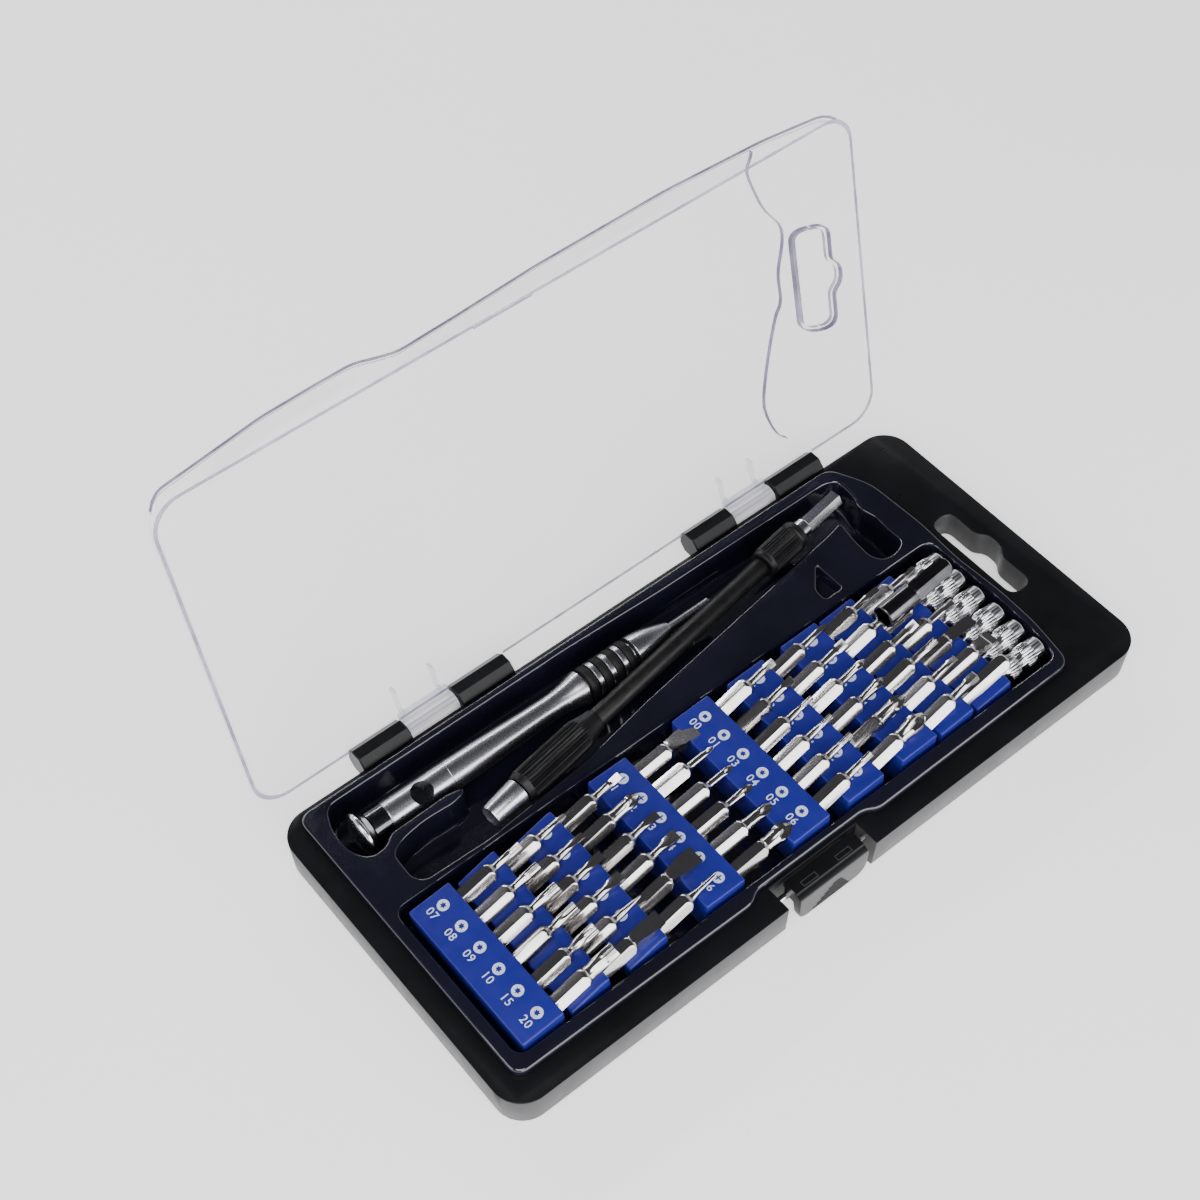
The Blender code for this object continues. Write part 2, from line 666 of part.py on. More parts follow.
def make_driver():
    place = Matrix.Translation((0.0, DRIVER_Y * MM, DRIVER_Z * MM))
    barrel = turned("driver_barrel", [
        (-75.9, 0.0), (-75.9, 3.9), (-71.5, 3.9), (-71.2, 3.7), (-54.7, 3.75), (-40.0, 3.45),
        (-25.0, 3.0), (-20.0, 3.6), (-17.0, 4.3), (-16.6, 4.3), (-16.6, 3.0),
        (-1.9, 3.0), (-1.9, 0.0),
    ], STEEL, place)
    cross = bmesh.new()
    turn = Matrix.Translation((CROSS_HOLE_X, 0, 0))
    turn = turn @ Matrix.Rotation(math.radians(CROSS_HOLE_TILT_DEG), 4, "X")
    bmesh.ops.create_cone(
        cross, cap_ends=True, segments=16, radius1=CROSS_HOLE_R, radius2=CROSS_HOLE_R,
        depth=14.0, matrix=turn,
    )
    boolean(barrel, cutter("cross_hole", cross, place), "DIFFERENCE")
    rings = []
    for number, x in enumerate(O_RING_X, 1):
        half = 1.15
        rings.append(turned(f"driver_o_ring_{number}", [
            (x - half, 3.3), (x - half, 3.9), (x - 0.6, 4.3), (x + 0.6, 4.3), (x + half, 3.9),
            (x + half, 3.3), (x - half, 3.3),
        ], RUBBER, place))
    nose = turned("driver_nose", [
        (-1.6, 0.0), (-1.6, 4.2), (1.5, 3.9), (4.5, 3.3), (7.5, 2.4), (9.7, 1.8),
        (9.7, 1.15), (22.0, 1.15), (22.5, 0.6), (22.5, 0.0),
    ], STEEL, place, steps=16)
    cap = turned("driver_swivel_cap", [
        (-79.9, 0.0), (-79.6, 2.9), (-79.0, 4.8), (-78.5, 5.4), (-78.0, 5.4), (-77.4, 4.8),
        (-76.2, 4.1), (-76.2, 0.0),
    ], CHROME, place)
    carry(joint_empty("driver_axis", -60.0, DRIVER_Y, DRIVER_Z), barrel, nose, *rings)
    carry(joint_empty("cap_axis", -78.0, DRIVER_Y, DRIVER_Z), cap)


def make_extension():
    place = Matrix.Translation(EXTENSION_START * MM)
    place = place @ Matrix.Rotation(math.radians(EXTENSION_YAW_DEG), 4, "Z")
    tip = turned("extension_socket", [
        (0.0, 0.0), (0.0, 2.75), (8.9, 3.35), (8.9, 0.0),
    ], STEEL, place)
    bm = bmesh.new()
    hexagon(bm, (-1.0, 7.0), 4.1)
    boolean(tip, cutter("extension_mouth", bm, place), "DIFFERENCE")
    grip = turned("extension_grip", [
        (9.2, 0.0), (9.2, 3.6), (10.2, 4.0), (29.0, 3.9), (34.0, 2.8), (34.0, 0.0),
    ], GRIP_PLASTIC, place)
    shaft = turned("extension_shaft", [
        (34.3, 0.0), (34.3, 2.4), (93.0, 2.4), (93.0, 0.0),
    ], GRIP_PLASTIC, place, steps=12)
    collar = turned("extension_collar", [
        (93.3, 0.0), (93.3, 3.4), (94.4, 3.8), (105.4, 3.8), (106.4, 3.3), (106.4, 0.0),
    ], GRIP_PLASTIC, place)
    ring = [(106.7, 0.0), (106.7, 2.45), (109.2, 2.45), (109.2, 0.0)]
    drive = turned("extension_hex_drive", ring, CHROME, place, steps=12)
    bm = bmesh.new()
    hexagon(bm, (108.6, 121.6), HEX_AF)
    boolean(drive, cutter("extension_drive_hex", bm, place), "UNION")
    carry(joint_empty("extension_axis", *EXTENSION_START), tip, grip, shaft, collar, drive)


def make_adapter():
    place = Matrix.Translation(ADAPTER_START * MM)
    place = place @ Matrix.Rotation(math.radians(ADAPTER_YAW_DEG), 4, "Z")
    body = turned("adapter_body", [(0.0, 0.0), (0.0, 2.7), (0.3, 3.0), (9.4, 3.0), (9.4, 0.0)],
                  DARK_METAL, place)
    bm = bmesh.new()
    hexagon(bm, (-1.0, 6.5), 4.1)
    boolean(body, cutter("adapter_mouth", bm, place), "DIFFERENCE")
    bm = bmesh.new()
    hexagon(bm, (9.7, 21.9), 4.6)
    shank = object_from("adapter_hex", bm, PARTS, DARK_METAL, place)
    carry(joint_empty("adapter_axis", *ADAPTER_START), body, shank)


clear_scene()
PARTS = new_collection(SET_NAME)
CUTTERS = new_collection("cutters")
BLACK_PLASTIC = material("black_plastic", (0.012, 0.012, 0.014), 0.35)
TRAY_PLASTIC = material("tray_plastic", (0.010, 0.011, 0.020), 0.12)
BLUE_PLASTIC = material("blue_plastic", (0.012, 0.055, 0.42), 0.35)
CLEAR_PLASTIC = material("clear_plastic", (0.95, 0.95, 1.0), 0.03, transmission=1.0)
GRIP_PLASTIC = material("grip_plastic", (0.012, 0.012, 0.013), 0.45)
RUBBER = material("rubber", (0.010, 0.010, 0.010), 0.7)
STEEL = material("steel", (0.55, 0.55, 0.56), 0.25, 1.0)
CHROME = material("chrome", (0.75, 0.75, 0.77), 0.08, 1.0)
DARK_METAL = material("dark_metal", (0.05, 0.05, 0.055), 0.2, 1.0)
make_base()
make_tray()
make_latch()
make_lid()
make_rows()
make_driver()
make_extension()
make_adapter()
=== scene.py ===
"""Looks of the precision screwdriver set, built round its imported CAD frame.

Shapes are drawn in millimetres, in the CAD's frame, and scaled to metres when they are made.
"""

import math
from collections import namedtuple

import bmesh
import bpy
import numpy as np
from mathutils import Matrix, Vector


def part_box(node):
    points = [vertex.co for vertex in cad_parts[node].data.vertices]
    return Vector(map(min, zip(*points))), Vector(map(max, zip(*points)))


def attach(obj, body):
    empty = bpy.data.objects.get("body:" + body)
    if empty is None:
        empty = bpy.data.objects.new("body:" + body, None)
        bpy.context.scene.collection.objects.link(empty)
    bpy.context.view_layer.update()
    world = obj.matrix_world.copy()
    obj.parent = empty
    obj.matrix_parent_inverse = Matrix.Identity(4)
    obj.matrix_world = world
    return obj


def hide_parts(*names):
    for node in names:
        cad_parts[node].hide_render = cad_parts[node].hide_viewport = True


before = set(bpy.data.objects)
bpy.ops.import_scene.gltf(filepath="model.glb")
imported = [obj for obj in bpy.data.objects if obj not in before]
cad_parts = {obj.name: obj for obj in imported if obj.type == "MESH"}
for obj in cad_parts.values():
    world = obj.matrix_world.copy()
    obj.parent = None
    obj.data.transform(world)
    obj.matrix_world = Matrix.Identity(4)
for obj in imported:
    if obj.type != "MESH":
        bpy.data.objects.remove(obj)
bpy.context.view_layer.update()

MM = 0.001
SHARP_EDGE = math.radians(30.0)

# Sizes that the CAD states, in millimetres
CASE_BOX = [[v / MM for v in corner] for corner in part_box("base_shell")]
HALF_X = CASE_BOX[1][0]
HALF_Y = 43.0
BASE_HEIGHT = 10.0
CORNER_RADIUS = 7.3
DRAFT = 0.4
HINGE_Y = 45.85
HINGE_Z = 9.19
LID_OPEN = math.radians(103.5)
TO_HINGE = Matrix.Translation((0, HINGE_Y, HINGE_Z))
LID_PLACE = TO_HINGE @ Matrix.Rotation(-LID_OPEN, 4, "X") @ TO_HINGE.inverted()
HINGES = {
    "left": {"base": ((-68.5, -55.0), (-41.0, -26.0)), "lid": (-54.7, -41.3)},
    "right": {"base": ((29.3, 42.2), (55.5, 70.6)), "lid": (42.5, 55.2)},
}
TRAY_TOP = 12.0
POCKET_FLOOR = 3.1
SLOT_COLLAR_Z = 2.6
NOTCH_X = (-18.8, 6.8)
NOTCH_BACK = -36.5
LATCH_X = (-15.2, 4.6)
CATCH_X = (-13.7, 1.6)
LID_RIM_Z = 10.3
LID_WALL = 0.8
LID_RISE = 6.15
LID_EDGE_RADIUS = 1.6
# Where the raised panel ends along X, and the lengths over which it rises
PANEL_END_X = 86.0
PANEL_SLOPE_X = 18.0
PANEL_SLOPE_Y = 12.0
# Height of the lid's long edges along X, and the step between the points that smooth it
EDGE_SMOOTHING = 0.8
LID_EDGE_PROFILE = (
    (-92.5, 12.4), (-88.4, 15.8), (-75.0, 17.8), (-60.4, 20.1), (-46.4, 20.5),
    (-37.6, 20.5), (-33.7, 18.4), (-29.0, 16.4), (-22.4, 16.8), (-13.3, 17.2),
    (8.0, 18.6), (44.3, 19.0), (64.7, 17.7), (71.8, 17.2), (80.8, 15.6), (92.5, 13.4),
)

# Bits and their holders, as in the CAD
HEX_R = 4.0 / math.sqrt(3)
BIT_PITCH = 6.4
BITS_PER_ROW = 6
HOLDER_MIDDLE_Y = -13.3
HOLDER_FRONT_Y = -33.0
# Each holder's right top edge (x, z), tilt in degrees, width and back end, then how its bits stand:
# their tilt, how far their axes lie under the top, how deep they reach in, and their shift along Y.
Holder = namedtuple(
    "Holder", "x z slope width back bit_slope under depth shift chamfer", defaults=(2.9, 8.6, 1.0, 0.0))
HOLDERS = (
    Holder(-71.9, 14.2, 6, 10.8, 6.4, 18, shift=0.0),
    Holder(-59.9, 14.2, 8, 10.4, 6.4, 18, under=3.55, shift=0.0, chamfer=1.8),
    Holder(-44.4, 14.2, 8, 10.4, 6.4, 18, shift=0.0, chamfer=1.8),
    Holder(-22.6, 13.5, 0, 10.8, 7.2, 10, shift=0.3),
    Holder(2.0, 14.2, 4, 10.8, 7.8, 20),
    Holder(18.2, 14.2, 3, 10.8, 7.4, 20),
    Holder(34.5, 14.2, 2, 10.8, 7.4, 20, under=2.6),
    Holder(46.0, 13.8, 6, 10.2, 7.4, 14, under=3.0, depth=3.6),
    Holder(57.9, 13.6, 11, 10.6, 6.6, 5, under=4.9, depth=2.8, shift=0.9),
)
CAD_ROWS = (1, 4, 5, 8)

# What each row holds, from the back of the case to its front: tip kind and its size in mm.
ROWS = {
    1: (("star", 1.0), ("star", 1.05), ("star", 1.15), ("star", 1.3), ("star", 1.45), ("star", 1.9)),
    2: (("flat", 0.55), ("flat", 0.8), ("flat", 1.15), ("flat", 1.3), ("awl", 0.9), ("spade", 1.9)),
    3: (("tri", 0.7), ("cross", 1.5), ("flat", 0.9), ("flat", 1.4), ("spade", 2.2), ("pick", 0.4)),
    4: (("spade", 2.3), ("cross", 0.75), ("cross", 0.9), ("cross", 1.15), ("cross", 1.5), ("cross", 2.0)),
    5: (("square", 0.8), ("square", 1.0), ("star", 0.65), ("star", 0.7), ("star", 0.75), ("star", 0.8)),
    6: (("flat", 0.6), ("tri", 0.9), ("cross", 1.0), ("cross", 1.2), ("cross", 1.6), ("cross", 2.1)),
    7: (("flat", 0.6), ("hex", 0.7), ("tri", 0.8), ("star", 0.9), ("flat", 0.8), ("square", 1.1)),
    8: (("hex", 0.65), ("hex", 0.8), ("hex", 1.0), ("spade", 1.5), ("spade", 1.9), ("shank", 2.0)),
}
# The number printed beside each bit. The other rows count up from a first number.
LABELS = {
    1: ("07", "08", "09", "10", "15", "20"),
    5: ("00", "01", "03", "04", "05", "06"),
    9: ("25", "30", "35", "40", "45", "50"),
}
FIRST_LABELS = {2: 31, 3: 41, 4: 51, 6: 61, 7: 71, 8: 81}

# Tools, as in the CAD
DRIVER_AXIS = Vector((0.0, 30.3, 9.0))
DRIVER_NECK_X = -71.5
EXTENSION_START = Vector((-54.5, 14.65, 11.5))
EXTENSION_YAW = math.radians(8.76)
EXTENSION_RIBS = 30
ADAPTER_START = Vector((44.4, -4.3, 19.6))
ADAPTER_YAW = math.radians(4.3)

# Camera
CAMERA_PLACE = Vector((-0.18470, -0.18677, 0.40640))
CAMERA_AZIMUTH = math.radians(-38.714)
CAMERA_ELEVATION = math.radians(52.997)
CAMERA_ROLL = math.radians(-0.609)
CAMERA_LENS = 63.10
SENSOR_WIDTH = 36.0


# ---------------------------------------------------------------- material nodes

class Look:
    """A node material built round one Principled shader."""

    def __init__(self, name, colour, roughness, metallic=0.0, **values):
        self.material = bpy.data.materials.new(name)
        self.material.use_nodes = True
        self.tree = self.material.node_tree
        self.shader = self.tree.nodes["Principled BSDF"]
        self.shader.inputs["Base Color"].default_value = (*colour, 1.0)
        self.shader.inputs["Roughness"].default_value = roughness
        self.shader.inputs["Metallic"].default_value = metallic
        for key, value in values.items():
            self.shader.inputs[key.replace("_", " ")].default_value = value
        self.place = self.tree.nodes.new("ShaderNodeTexCoord").outputs["Object"]
        self.normal = None

    def node(self, kind, **values):
        """Add a node. A value goes to the input of that name, or else to the node's own setting."""
        made = self.tree.nodes.new(kind)
        for key, value in values.items():
            if key.title() in made.inputs:
                made.inputs[key.title()].default_value = value
            else:
                setattr(made, key, value)
        return made

    def link(self, source, target):
        self.tree.links.new(source, target)

    def facing(self):
        """How far the surface turns away from the view."""
        return self.node("ShaderNodeLayerWeight", blend=0.5).outputs["Facing"]

    def noise(self, scale, detail, stretch=(1, 1, 1)):
        """Noise with a stated scale in features per metre, stretched along the axes."""
        mapping = self.node("ShaderNodeMapping", scale=stretch)
        self.link(self.place, mapping.inputs["Vector"])
        made = self.node("ShaderNodeTexNoise", scale=scale, detail=detail)
        self.link(mapping.outputs["Vector"], made.inputs["Vector"])
        return made.outputs["Fac"]

    def span(self, source, low, high, source_low=0.3, source_high=0.7):
        """Map a value onto a range."""
        made = self.tree.nodes.new("ShaderNodeMapRange")
        made.inputs["From Min"].default_value = source_low
        made.inputs["From Max"].default_value = source_high
        made.inputs["To Min"].default_value = low
        made.inputs["To Max"].default_value = high
        self.link(source, made.inputs["Value"])
        return made.outputs["Result"]

    def vary_roughness(self, source, low, high):
        self.link(self.span(source, low, high), self.shader.inputs["Roughness"])

    def vary_colour(self, source, first, second, low=0.3, high=0.7):
        ramp = self.tree.nodes.new("ShaderNodeValToRGB")
        ramp.color_ramp.elements[0].position = low
        ramp.color_ramp.elements[1].position = high
        ramp.color_ramp.elements[0].color = (*first, 1.0)
        ramp.color_ramp.elements[1].color = (*second, 1.0)
        self.link(source, ramp.inputs["Fac"])
        self.link(ramp.outputs["Color"], self.shader.inputs["Base Color"])

    def bump(self, source, distance, strength):
        made = self.node("ShaderNodeBump", distance=distance, strength=strength)
        self.link(source, made.inputs["Height"])
        if self.normal:
            self.link(self.normal, made.inputs["Normal"])
        self.normal = made.outputs["Normal"]
        self.link(self.normal, self.shader.inputs["Normal"])


def plastic(name, colour, roughness, specular, rough, tint, bumps=()):
    """Opaque plastic, rubber or paint.

    rough is the scale and detail of a noise and the roughness at its two ends, tint is the same with
    two colours, and a bump is the scale and detail of a noise, a distance in metres and a strength.
    """
    look = Look(name, colour, roughness, Specular_IOR_Level=specular)
    look.vary_roughness(look.noise(*rough[:2]), *rough[2:])
    look.vary_colour(look.noise(*tint[:2]), *tint[2:])
    for scale, detail, distance, strength in bumps:
        look.bump(look.noise(scale, detail), distance, strength)
    return look.material


def black_plastic():
    return plastic(
        "black_case_plastic", (0.006, 0.006, 0.007), 0.3, 0.22, rough=(220.0, 4.0, 0.27, 0.33),
        tint=(90.0, 5.0, (0.0055, 0.0057, 0.0065), (0.0085, 0.0087, 0.0105)),
        bumps=[(5200.0, 2.0, 0.000008, 0.4)])


def paler_wall_reflection_plastic():
    """The same black plastic, duller and paler, for the upright walls. The paler colour is painted
    reflection of the bright floor and horizon that the walls catch at a grazing angle.
    """
    return plastic(
        "dull_wall_painted_reflection", (0.045, 0.045, 0.047), 0.45, 0.5, rough=(220.0, 4.0, 0.40, 0.50),
        tint=(60.0, 4.0, (0.040, 0.040, 0.042), (0.055, 0.055, 0.058)),
        bumps=[(5200.0, 2.0, 0.000008, 0.4)])


def tray_plastic():
    return plastic(
        "glossy_tray_plastic", (0.004, 0.004, 0.010), 0.10, 0.9, rough=(120.0, 4.0, 0.07, 0.13),
        tint=(60.0, 3.0, (0.0048, 0.0052, 0.011), (0.0085, 0.0092, 0.020)),
        bumps=[(75.0, 2.0, 0.0006, 0.5), (700.0, 2.0, 0.00002, 0.2)])


def blue_plastic():
    return plastic(
        "blue_holder_plastic", (0.015, 0.018, 0.22), 0.38, 0.35, rough=(400.0, 4.0, 0.30, 0.42),
        tint=(140.0, 4.0, (0.0135, 0.0165, 0.20), (0.0165, 0.0195, 0.24)),
        bumps=[(3800.0, 2.0, 0.000015, 0.4)])


def grip_plastic():
    return plastic(
        "black_grip_plastic", (0.005, 0.005, 0.0055), 0.45, 0.3, rough=(500.0, 4.0, 0.34, 0.52),
        tint=(200.0, 4.0, (0.0035, 0.0035, 0.004), (0.0065, 0.0065, 0.007)),
        bumps=[(4200.0, 2.0, 0.000015, 0.5)])


def rubber():
    return plastic(
        "ring_rubber", (0.005, 0.005, 0.005), 0.6, 0.3, rough=(700.0, 4.0, 0.52, 0.72),
        tint=(300.0, 4.0, (0.0035, 0.0035, 0.0035), (0.0065, 0.0065, 0.007)),
        bumps=[(5200.0, 3.0, 0.00002, 0.6)])


def label_paint():
    return plastic(
        "label_paint", (0.62, 0.68, 0.86), 0.5, 0.5, rough=(600.0, 3.0, 0.42, 0.6),
        tint=(900.0, 4.0, (0.50, 0.56, 0.78), (0.72, 0.78, 0.92)))


def clear_plastic():
    """The lid's panels: almost invisible face on, denser at a grazing angle."""
    look = Look("clear_lid_plastic", (0.50, 0.49, 0.62), 0.05, Specular_IOR_Level=0.5)
    scratches = look.noise(55.0, 5.0, (1.0, 9.0, 9.0))
    add = look.node("ShaderNodeMath", operation="ADD")
    look.link(look.span(look.facing(), 0.02, 0.45, 0.6, 1.0), add.inputs[0])
    look.link(look.span(scratches, 0.0, 0.03, 0.55, 0.75), add.inputs[1])
    look.link(add.outputs["Value"], look.shader.inputs["Alpha"])
    look.vary_roughness(scratches, 0.03, 0.10)
    return look.material


def clear_edge_painted_reflection():
    """The lid's rims and ribs, where more plastic lies along the line of sight. Their dark lilac colour is
    partly that thicker plastic and partly painted reflection: the dark lines that a clear edge shows.
    """
    look = Look("clear_lid_edge_painted_reflection", (0.20, 0.19, 0.30), 0.12, Specular_IOR_Level=0.4)
    wear = look.noise(240.0, 4.0)
    look.link(look.span(wear, 0.72, 0.92), look.shader.inputs["Alpha"])
    look.vary_colour(look.noise(90.0, 4.0), (0.13, 0.12, 0.20), (0.34, 0.32, 0.46), 0.35, 0.65)
    look.vary_roughness(wear, 0.05, 0.12)
    return look.material


def clear_block():
    """Clear plastic in the hinge's knuckles and fins, milky against the black case."""
    look = Look("clear_hinge_block", (0.88, 0.88, 0.92), 0.10, Specular_IOR_Level=0.6)
    look.link(look.span(look.facing(), 0.45, 0.90, 0.2, 0.9), look.shader.inputs["Alpha"])
    look.vary_roughness(look.noise(300.0, 4.0), 0.06, 0.12)
    look.vary_colour(look.noise(90.0, 3.0), (0.84, 0.84, 0.90), (0.94, 0.94, 0.96))
    return look.material


def metal(name, colour, roughness, grain, spread):
    """Polished or turned metal with fine grain across the piece and a few darker patches."""
    look = Look(name, colour, roughness, 1.0)
    darker = tuple(c * (1.0 - spread) for c in colour)
    look.vary_colour(look.noise(260.0, 4.0), darker, colour)
    fine = look.noise(2600.0, 3.0, (6.0, 1.0, 1.0))
    look.vary_roughness(fine, roughness * 0.85, roughness * 1.2)
    look.bump(fine, 0.0000015 * grain, 0.35)
    return look.material


def floor_paint():
    """Pale paint with a little light of its own, like a lit table."""
    look = Look("pale_floor", (0.90, 0.90, 0.91), 0.6, Emission_Strength=0.85)
    look.shader.inputs["Emission Color"].default_value = (1.0, 1.0, 1.0, 1.0)
    look.vary_colour(look.noise(8.0, 3.0), (0.89, 0.89, 0.90), (0.91, 0.91, 0.92))
    return look.material


# ---------------------------------------------------------------- outline helpers

def arc(centre, radius, start, end, steps):
    angles = [math.radians(start + (end - start) * i / steps) for i in range(steps + 1)]
    return [(centre[0] + radius * math.cos(a), centre[1] + radius * math.sin(a)) for a in angles]


def rounded_rectangle(half_x, half_y, radius, steps=12):
    corners = (
        (half_x - radius, half_y - radius, 0), (radius - half_x, half_y - radius, 90),
        (radius - half_x, radius - half_y, 180), (half_x - radius, radius - half_y, 270),
    )
    points = []
    for x, y, start in corners:
        points += arc((x, y), radius, start, start + 90, steps)
    return points


def area(points):
    """Above zero when the outline runs anticlockwise."""
    return sum(a[0] * b[1] - b[0] * a[1] for a, b in zip(points, points[1:] + points[:1])) / 2


def rounded(points, radius, steps=7):
    """An outline with every corner rounded by a quadratic curve, anticlockwise."""
    result = []
    count = len(points)
    for i in range(count):
        here = Vector(points[i])
        before = Vector(points[i - 1]) - here
        after = Vector(points[(i + 1) % count]) - here
        reach = min(radius, before.length * 0.45, after.length * 0.45)
        start = here + before.normalized() * reach
        end = here + after.normalized() * reach
        for k in range(steps + 1):
            t = k / steps
            result.append(tuple(start * (1 - t) ** 2 + here * 2 * t * (1 - t) + end * t ** 2))
    return result if area(result) > 0 else list(reversed(result))


def offset(points, distance):
    """Move a counter-clockwise outline outward by a distance."""
    result = []
    count = len(points)
    for i in range(count):
        here = Vector(points[i])
        first = (here - Vector(points[i - 1])).normalized()
        second = (Vector(points[(i + 1) % count]) - here).normalized()
        normal = Vector((first.y + second.y, -first.x - second.x)).normalized()
        stretch = max(0.5, normal.dot(Vector((first.y, -first.x))))
        result.append(tuple(here + normal * (distance / stretch)))
    return result


# ---------------------------------------------------------------- mesh helpers

def put(name, data):
    """A new object in the scene."""
    obj = bpy.data.objects.new(name, data)
    bpy.context.scene.collection.objects.link(obj)
    return obj


def baked(obj):
    """The mesh that a curve makes, or a mesh with its modifiers applied. The object is removed."""
    graph = bpy.context.evaluated_depsgraph_get()
    mesh = bpy.data.meshes.new_from_object(obj.evaluated_get(graph))
    bpy.data.objects.remove(obj, do_unlink=True)
    return mesh


def mesh_of(name, bm):
    mesh = bpy.data.meshes.new(name)
    bm.to_mesh(mesh)
    bm.free()
    return mesh


def join(target, source):
    """Add one bmesh to another."""
    mesh = mesh_of("joined", source)
    target.from_mesh(mesh)
    bpy.data.meshes.remove(mesh)


def moved(bm, matrix):
    bmesh.ops.transform(bm, matrix=matrix, verts=bm.verts)
    return bm


def make(name, bm, look, body, replaces, sharp=32.0, place=Matrix(), weld=0.0):
    """Turn a millimetre bmesh into a piece that rides on a body."""
    if weld:
        bmesh.ops.remove_doubles(bm, verts=bm.verts, dist=weld)
    moved(bm, place)
    bmesh.ops.scale(bm, vec=Vector((MM, MM, MM)), verts=bm.verts)
    bmesh.ops.recalc_face_normals(bm, faces=bm.faces)
    mesh = mesh_of(name, bm)
    for material in look if isinstance(look, tuple) else (look,):
        mesh.materials.append(material)
    mesh.shade_smooth()
    mesh.set_sharp_from_angle(angle=math.radians(sharp))
    obj = put(name, mesh)
    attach(obj, body)
    if replaces:
        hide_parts(*replaces)


def ring_of(bm, points):
    return [bm.verts.new(point) for point in points]


def level_ring(bm, outline, z):
    return ring_of(bm, [(x, y, z) for x, y in outline])


def bridge(bm, rings):
    """Join each ring of vertices to the next."""
    for first, second in zip(rings, rings[1:]):
        for i in range(len(first)):
            j = (i + 1) % len(first)
            bm.faces.new((first[i], first[j], second[j], second[i]))


def loft(rings):
    """A closed bmesh skinned over rings of points, all with the same count."""
    bm = bmesh.new()
    made = [ring_of(bm, points) for points in rings]
    bridge(bm, made)
    bm.faces.new(made[0])
    bm.faces.new(list(reversed(made[-1])))
    return bm


def section(x, shape, count):
    """A ring round the X axis. A shape gives the (y, z) point at an angle round it."""
    return [(x, *shape(2 * math.pi * i / count)) for i in range(count)]


def polar(radius_at):
    return lambda angle: (radius_at(angle) * math.cos(angle), radius_at(angle) * math.sin(angle))


def circle(radius):
    return polar(lambda angle: radius)


def polygon(sides, apothem, turn=0.0, limit=100.0):
    """A regular polygon with a flat across the turn direction, its corners cut to a circle."""
    step = 2 * math.pi / sides

    def radius_at(angle):
        local = (angle - turn + step / 2) % step - step / 2
        return min(limit, apothem / math.cos(local))
    return polar(radius_at)


def hexagon(apothem, limit=100.0):
    return polygon(6, apothem, math.pi / 6, limit)


def star(radius, depth=0.24):
    return polar(lambda angle: radius * (1 - depth * (0.5 - 0.5 * math.cos(6 * angle))))


def cornered(corners):
    """A shape with straight sides between corners that are evenly spread in angle."""
    count = len(corners)

    def point_at(angle):
        place = (angle / (2 * math.pi) * count - 0.5) % count
        first = Vector(corners[int(place)])
        second = Vector(corners[(int(place) + 1) % count])
        return tuple(first.lerp(second, place - int(place)))
    return point_at


def cross(radius, web):
    """Four wings of a stated half-thickness."""
    wing = [(radius, web), (web, web), (web, radius), (-web, radius), (-web, web), (-radius, web)]
    return cornered(wing + [(-y, -z) for y, z in wing])


def blade(half_width, half_thick):
    """A rectangle, wide along Y."""
    y, z = half_width, half_thick
    return cornered([(y, z), (-y, z), (-y, -z), (y, -z)])


def mixed(first, second, amount):
    def point_at(angle):
        return tuple(a * (1 - amount) + b * amount for a, b in zip(first(angle), second(angle)))
    return point_at


def stack(stations, count=48):
    """A solid through (x, shape) stations along the X axis."""
    return loft([section(x, shape, count) for x, shape in stations])


def turned(profile, count):
    """A solid turned about the X axis from (x, radius) points."""
    return stack([(x, circle(max(radius, 0.001))) for x, radius in profile], count)


def ribbed(radius, ribs, depth):
    """A round section with rounded ribs."""
    def radius_at(angle):
        wave = 0.5 + 0.5 * math.cos(ribs * angle)
        return radius - depth * (1 - wave ** 0.6)
    return polar(radius_at)


def fillet(profile, size):
    """Cut each inner corner of a profile with a small chamfer so edges catch light."""
    result = [profile[0]]
    for before, here, after in zip(profile, profile[1:], profile[2:]):
        a = Vector(before) - Vector(here)
        b = Vector(after) - Vector(here)
        if a.length < 1e-6 or b.length < 1e-6 or abs(a.angle(b) - math.pi) < 0.3:
            result.append(here)
            continue
        first = Vector(here) + a.normalized() * min(size, a.length * 0.4)
        second = Vector(here) + b.normalized() * min(size, b.length * 0.4)
        result.append(tuple(first))
        result.append(tuple((first + second) / 2 * 0.7 + Vector(here) * 0.3))
        result.append(tuple(second))
    result.append(profile[-1])
    return result


def box(low, high):
    bm = bmesh.new()
    low = Vector(low)
    high = Vector(high)
    place = Matrix.Translation((low + high) / 2) @ Matrix.Diagonal((*(high - low), 1.0))
    bmesh.ops.create_cube(bm, size=1.0, matrix=place)
    return bm


def bevel(bm, width, segments):
    """Round the sharp edges of a bmesh."""
    edges = [e for e in bm.edges if e.is_manifold and e.calc_face_angle(0.0) > SHARP_EDGE]
    bmesh.ops.bevel(
        bm, geom=edges, offset=width, segments=segments, profile=0.5, affect="EDGES",
        clamp_overlap=True,
    )


def prism(outline, low, high):
    bm = bmesh.new()
    face = bm.faces.new([bm.verts.new((x, y, low)) for x, y in outline])
    made = bmesh.ops.extrude_face_region(bm, geom=[face])["geom"]
    top = [item for item in made if isinstance(item, bmesh.types.BMVert)]
    bmesh.ops.translate(bm, vec=Vector((0, 0, high - low)), verts=top)
    bmesh.ops.recalc_face_normals(bm, faces=bm.faces)
    return bm


def solid(name, bm):
    """A plain object that Boolean modifiers can use."""
    bmesh.ops.recalc_face_normals(bm, faces=bm.faces)
    return put(name, mesh_of(name, bm))


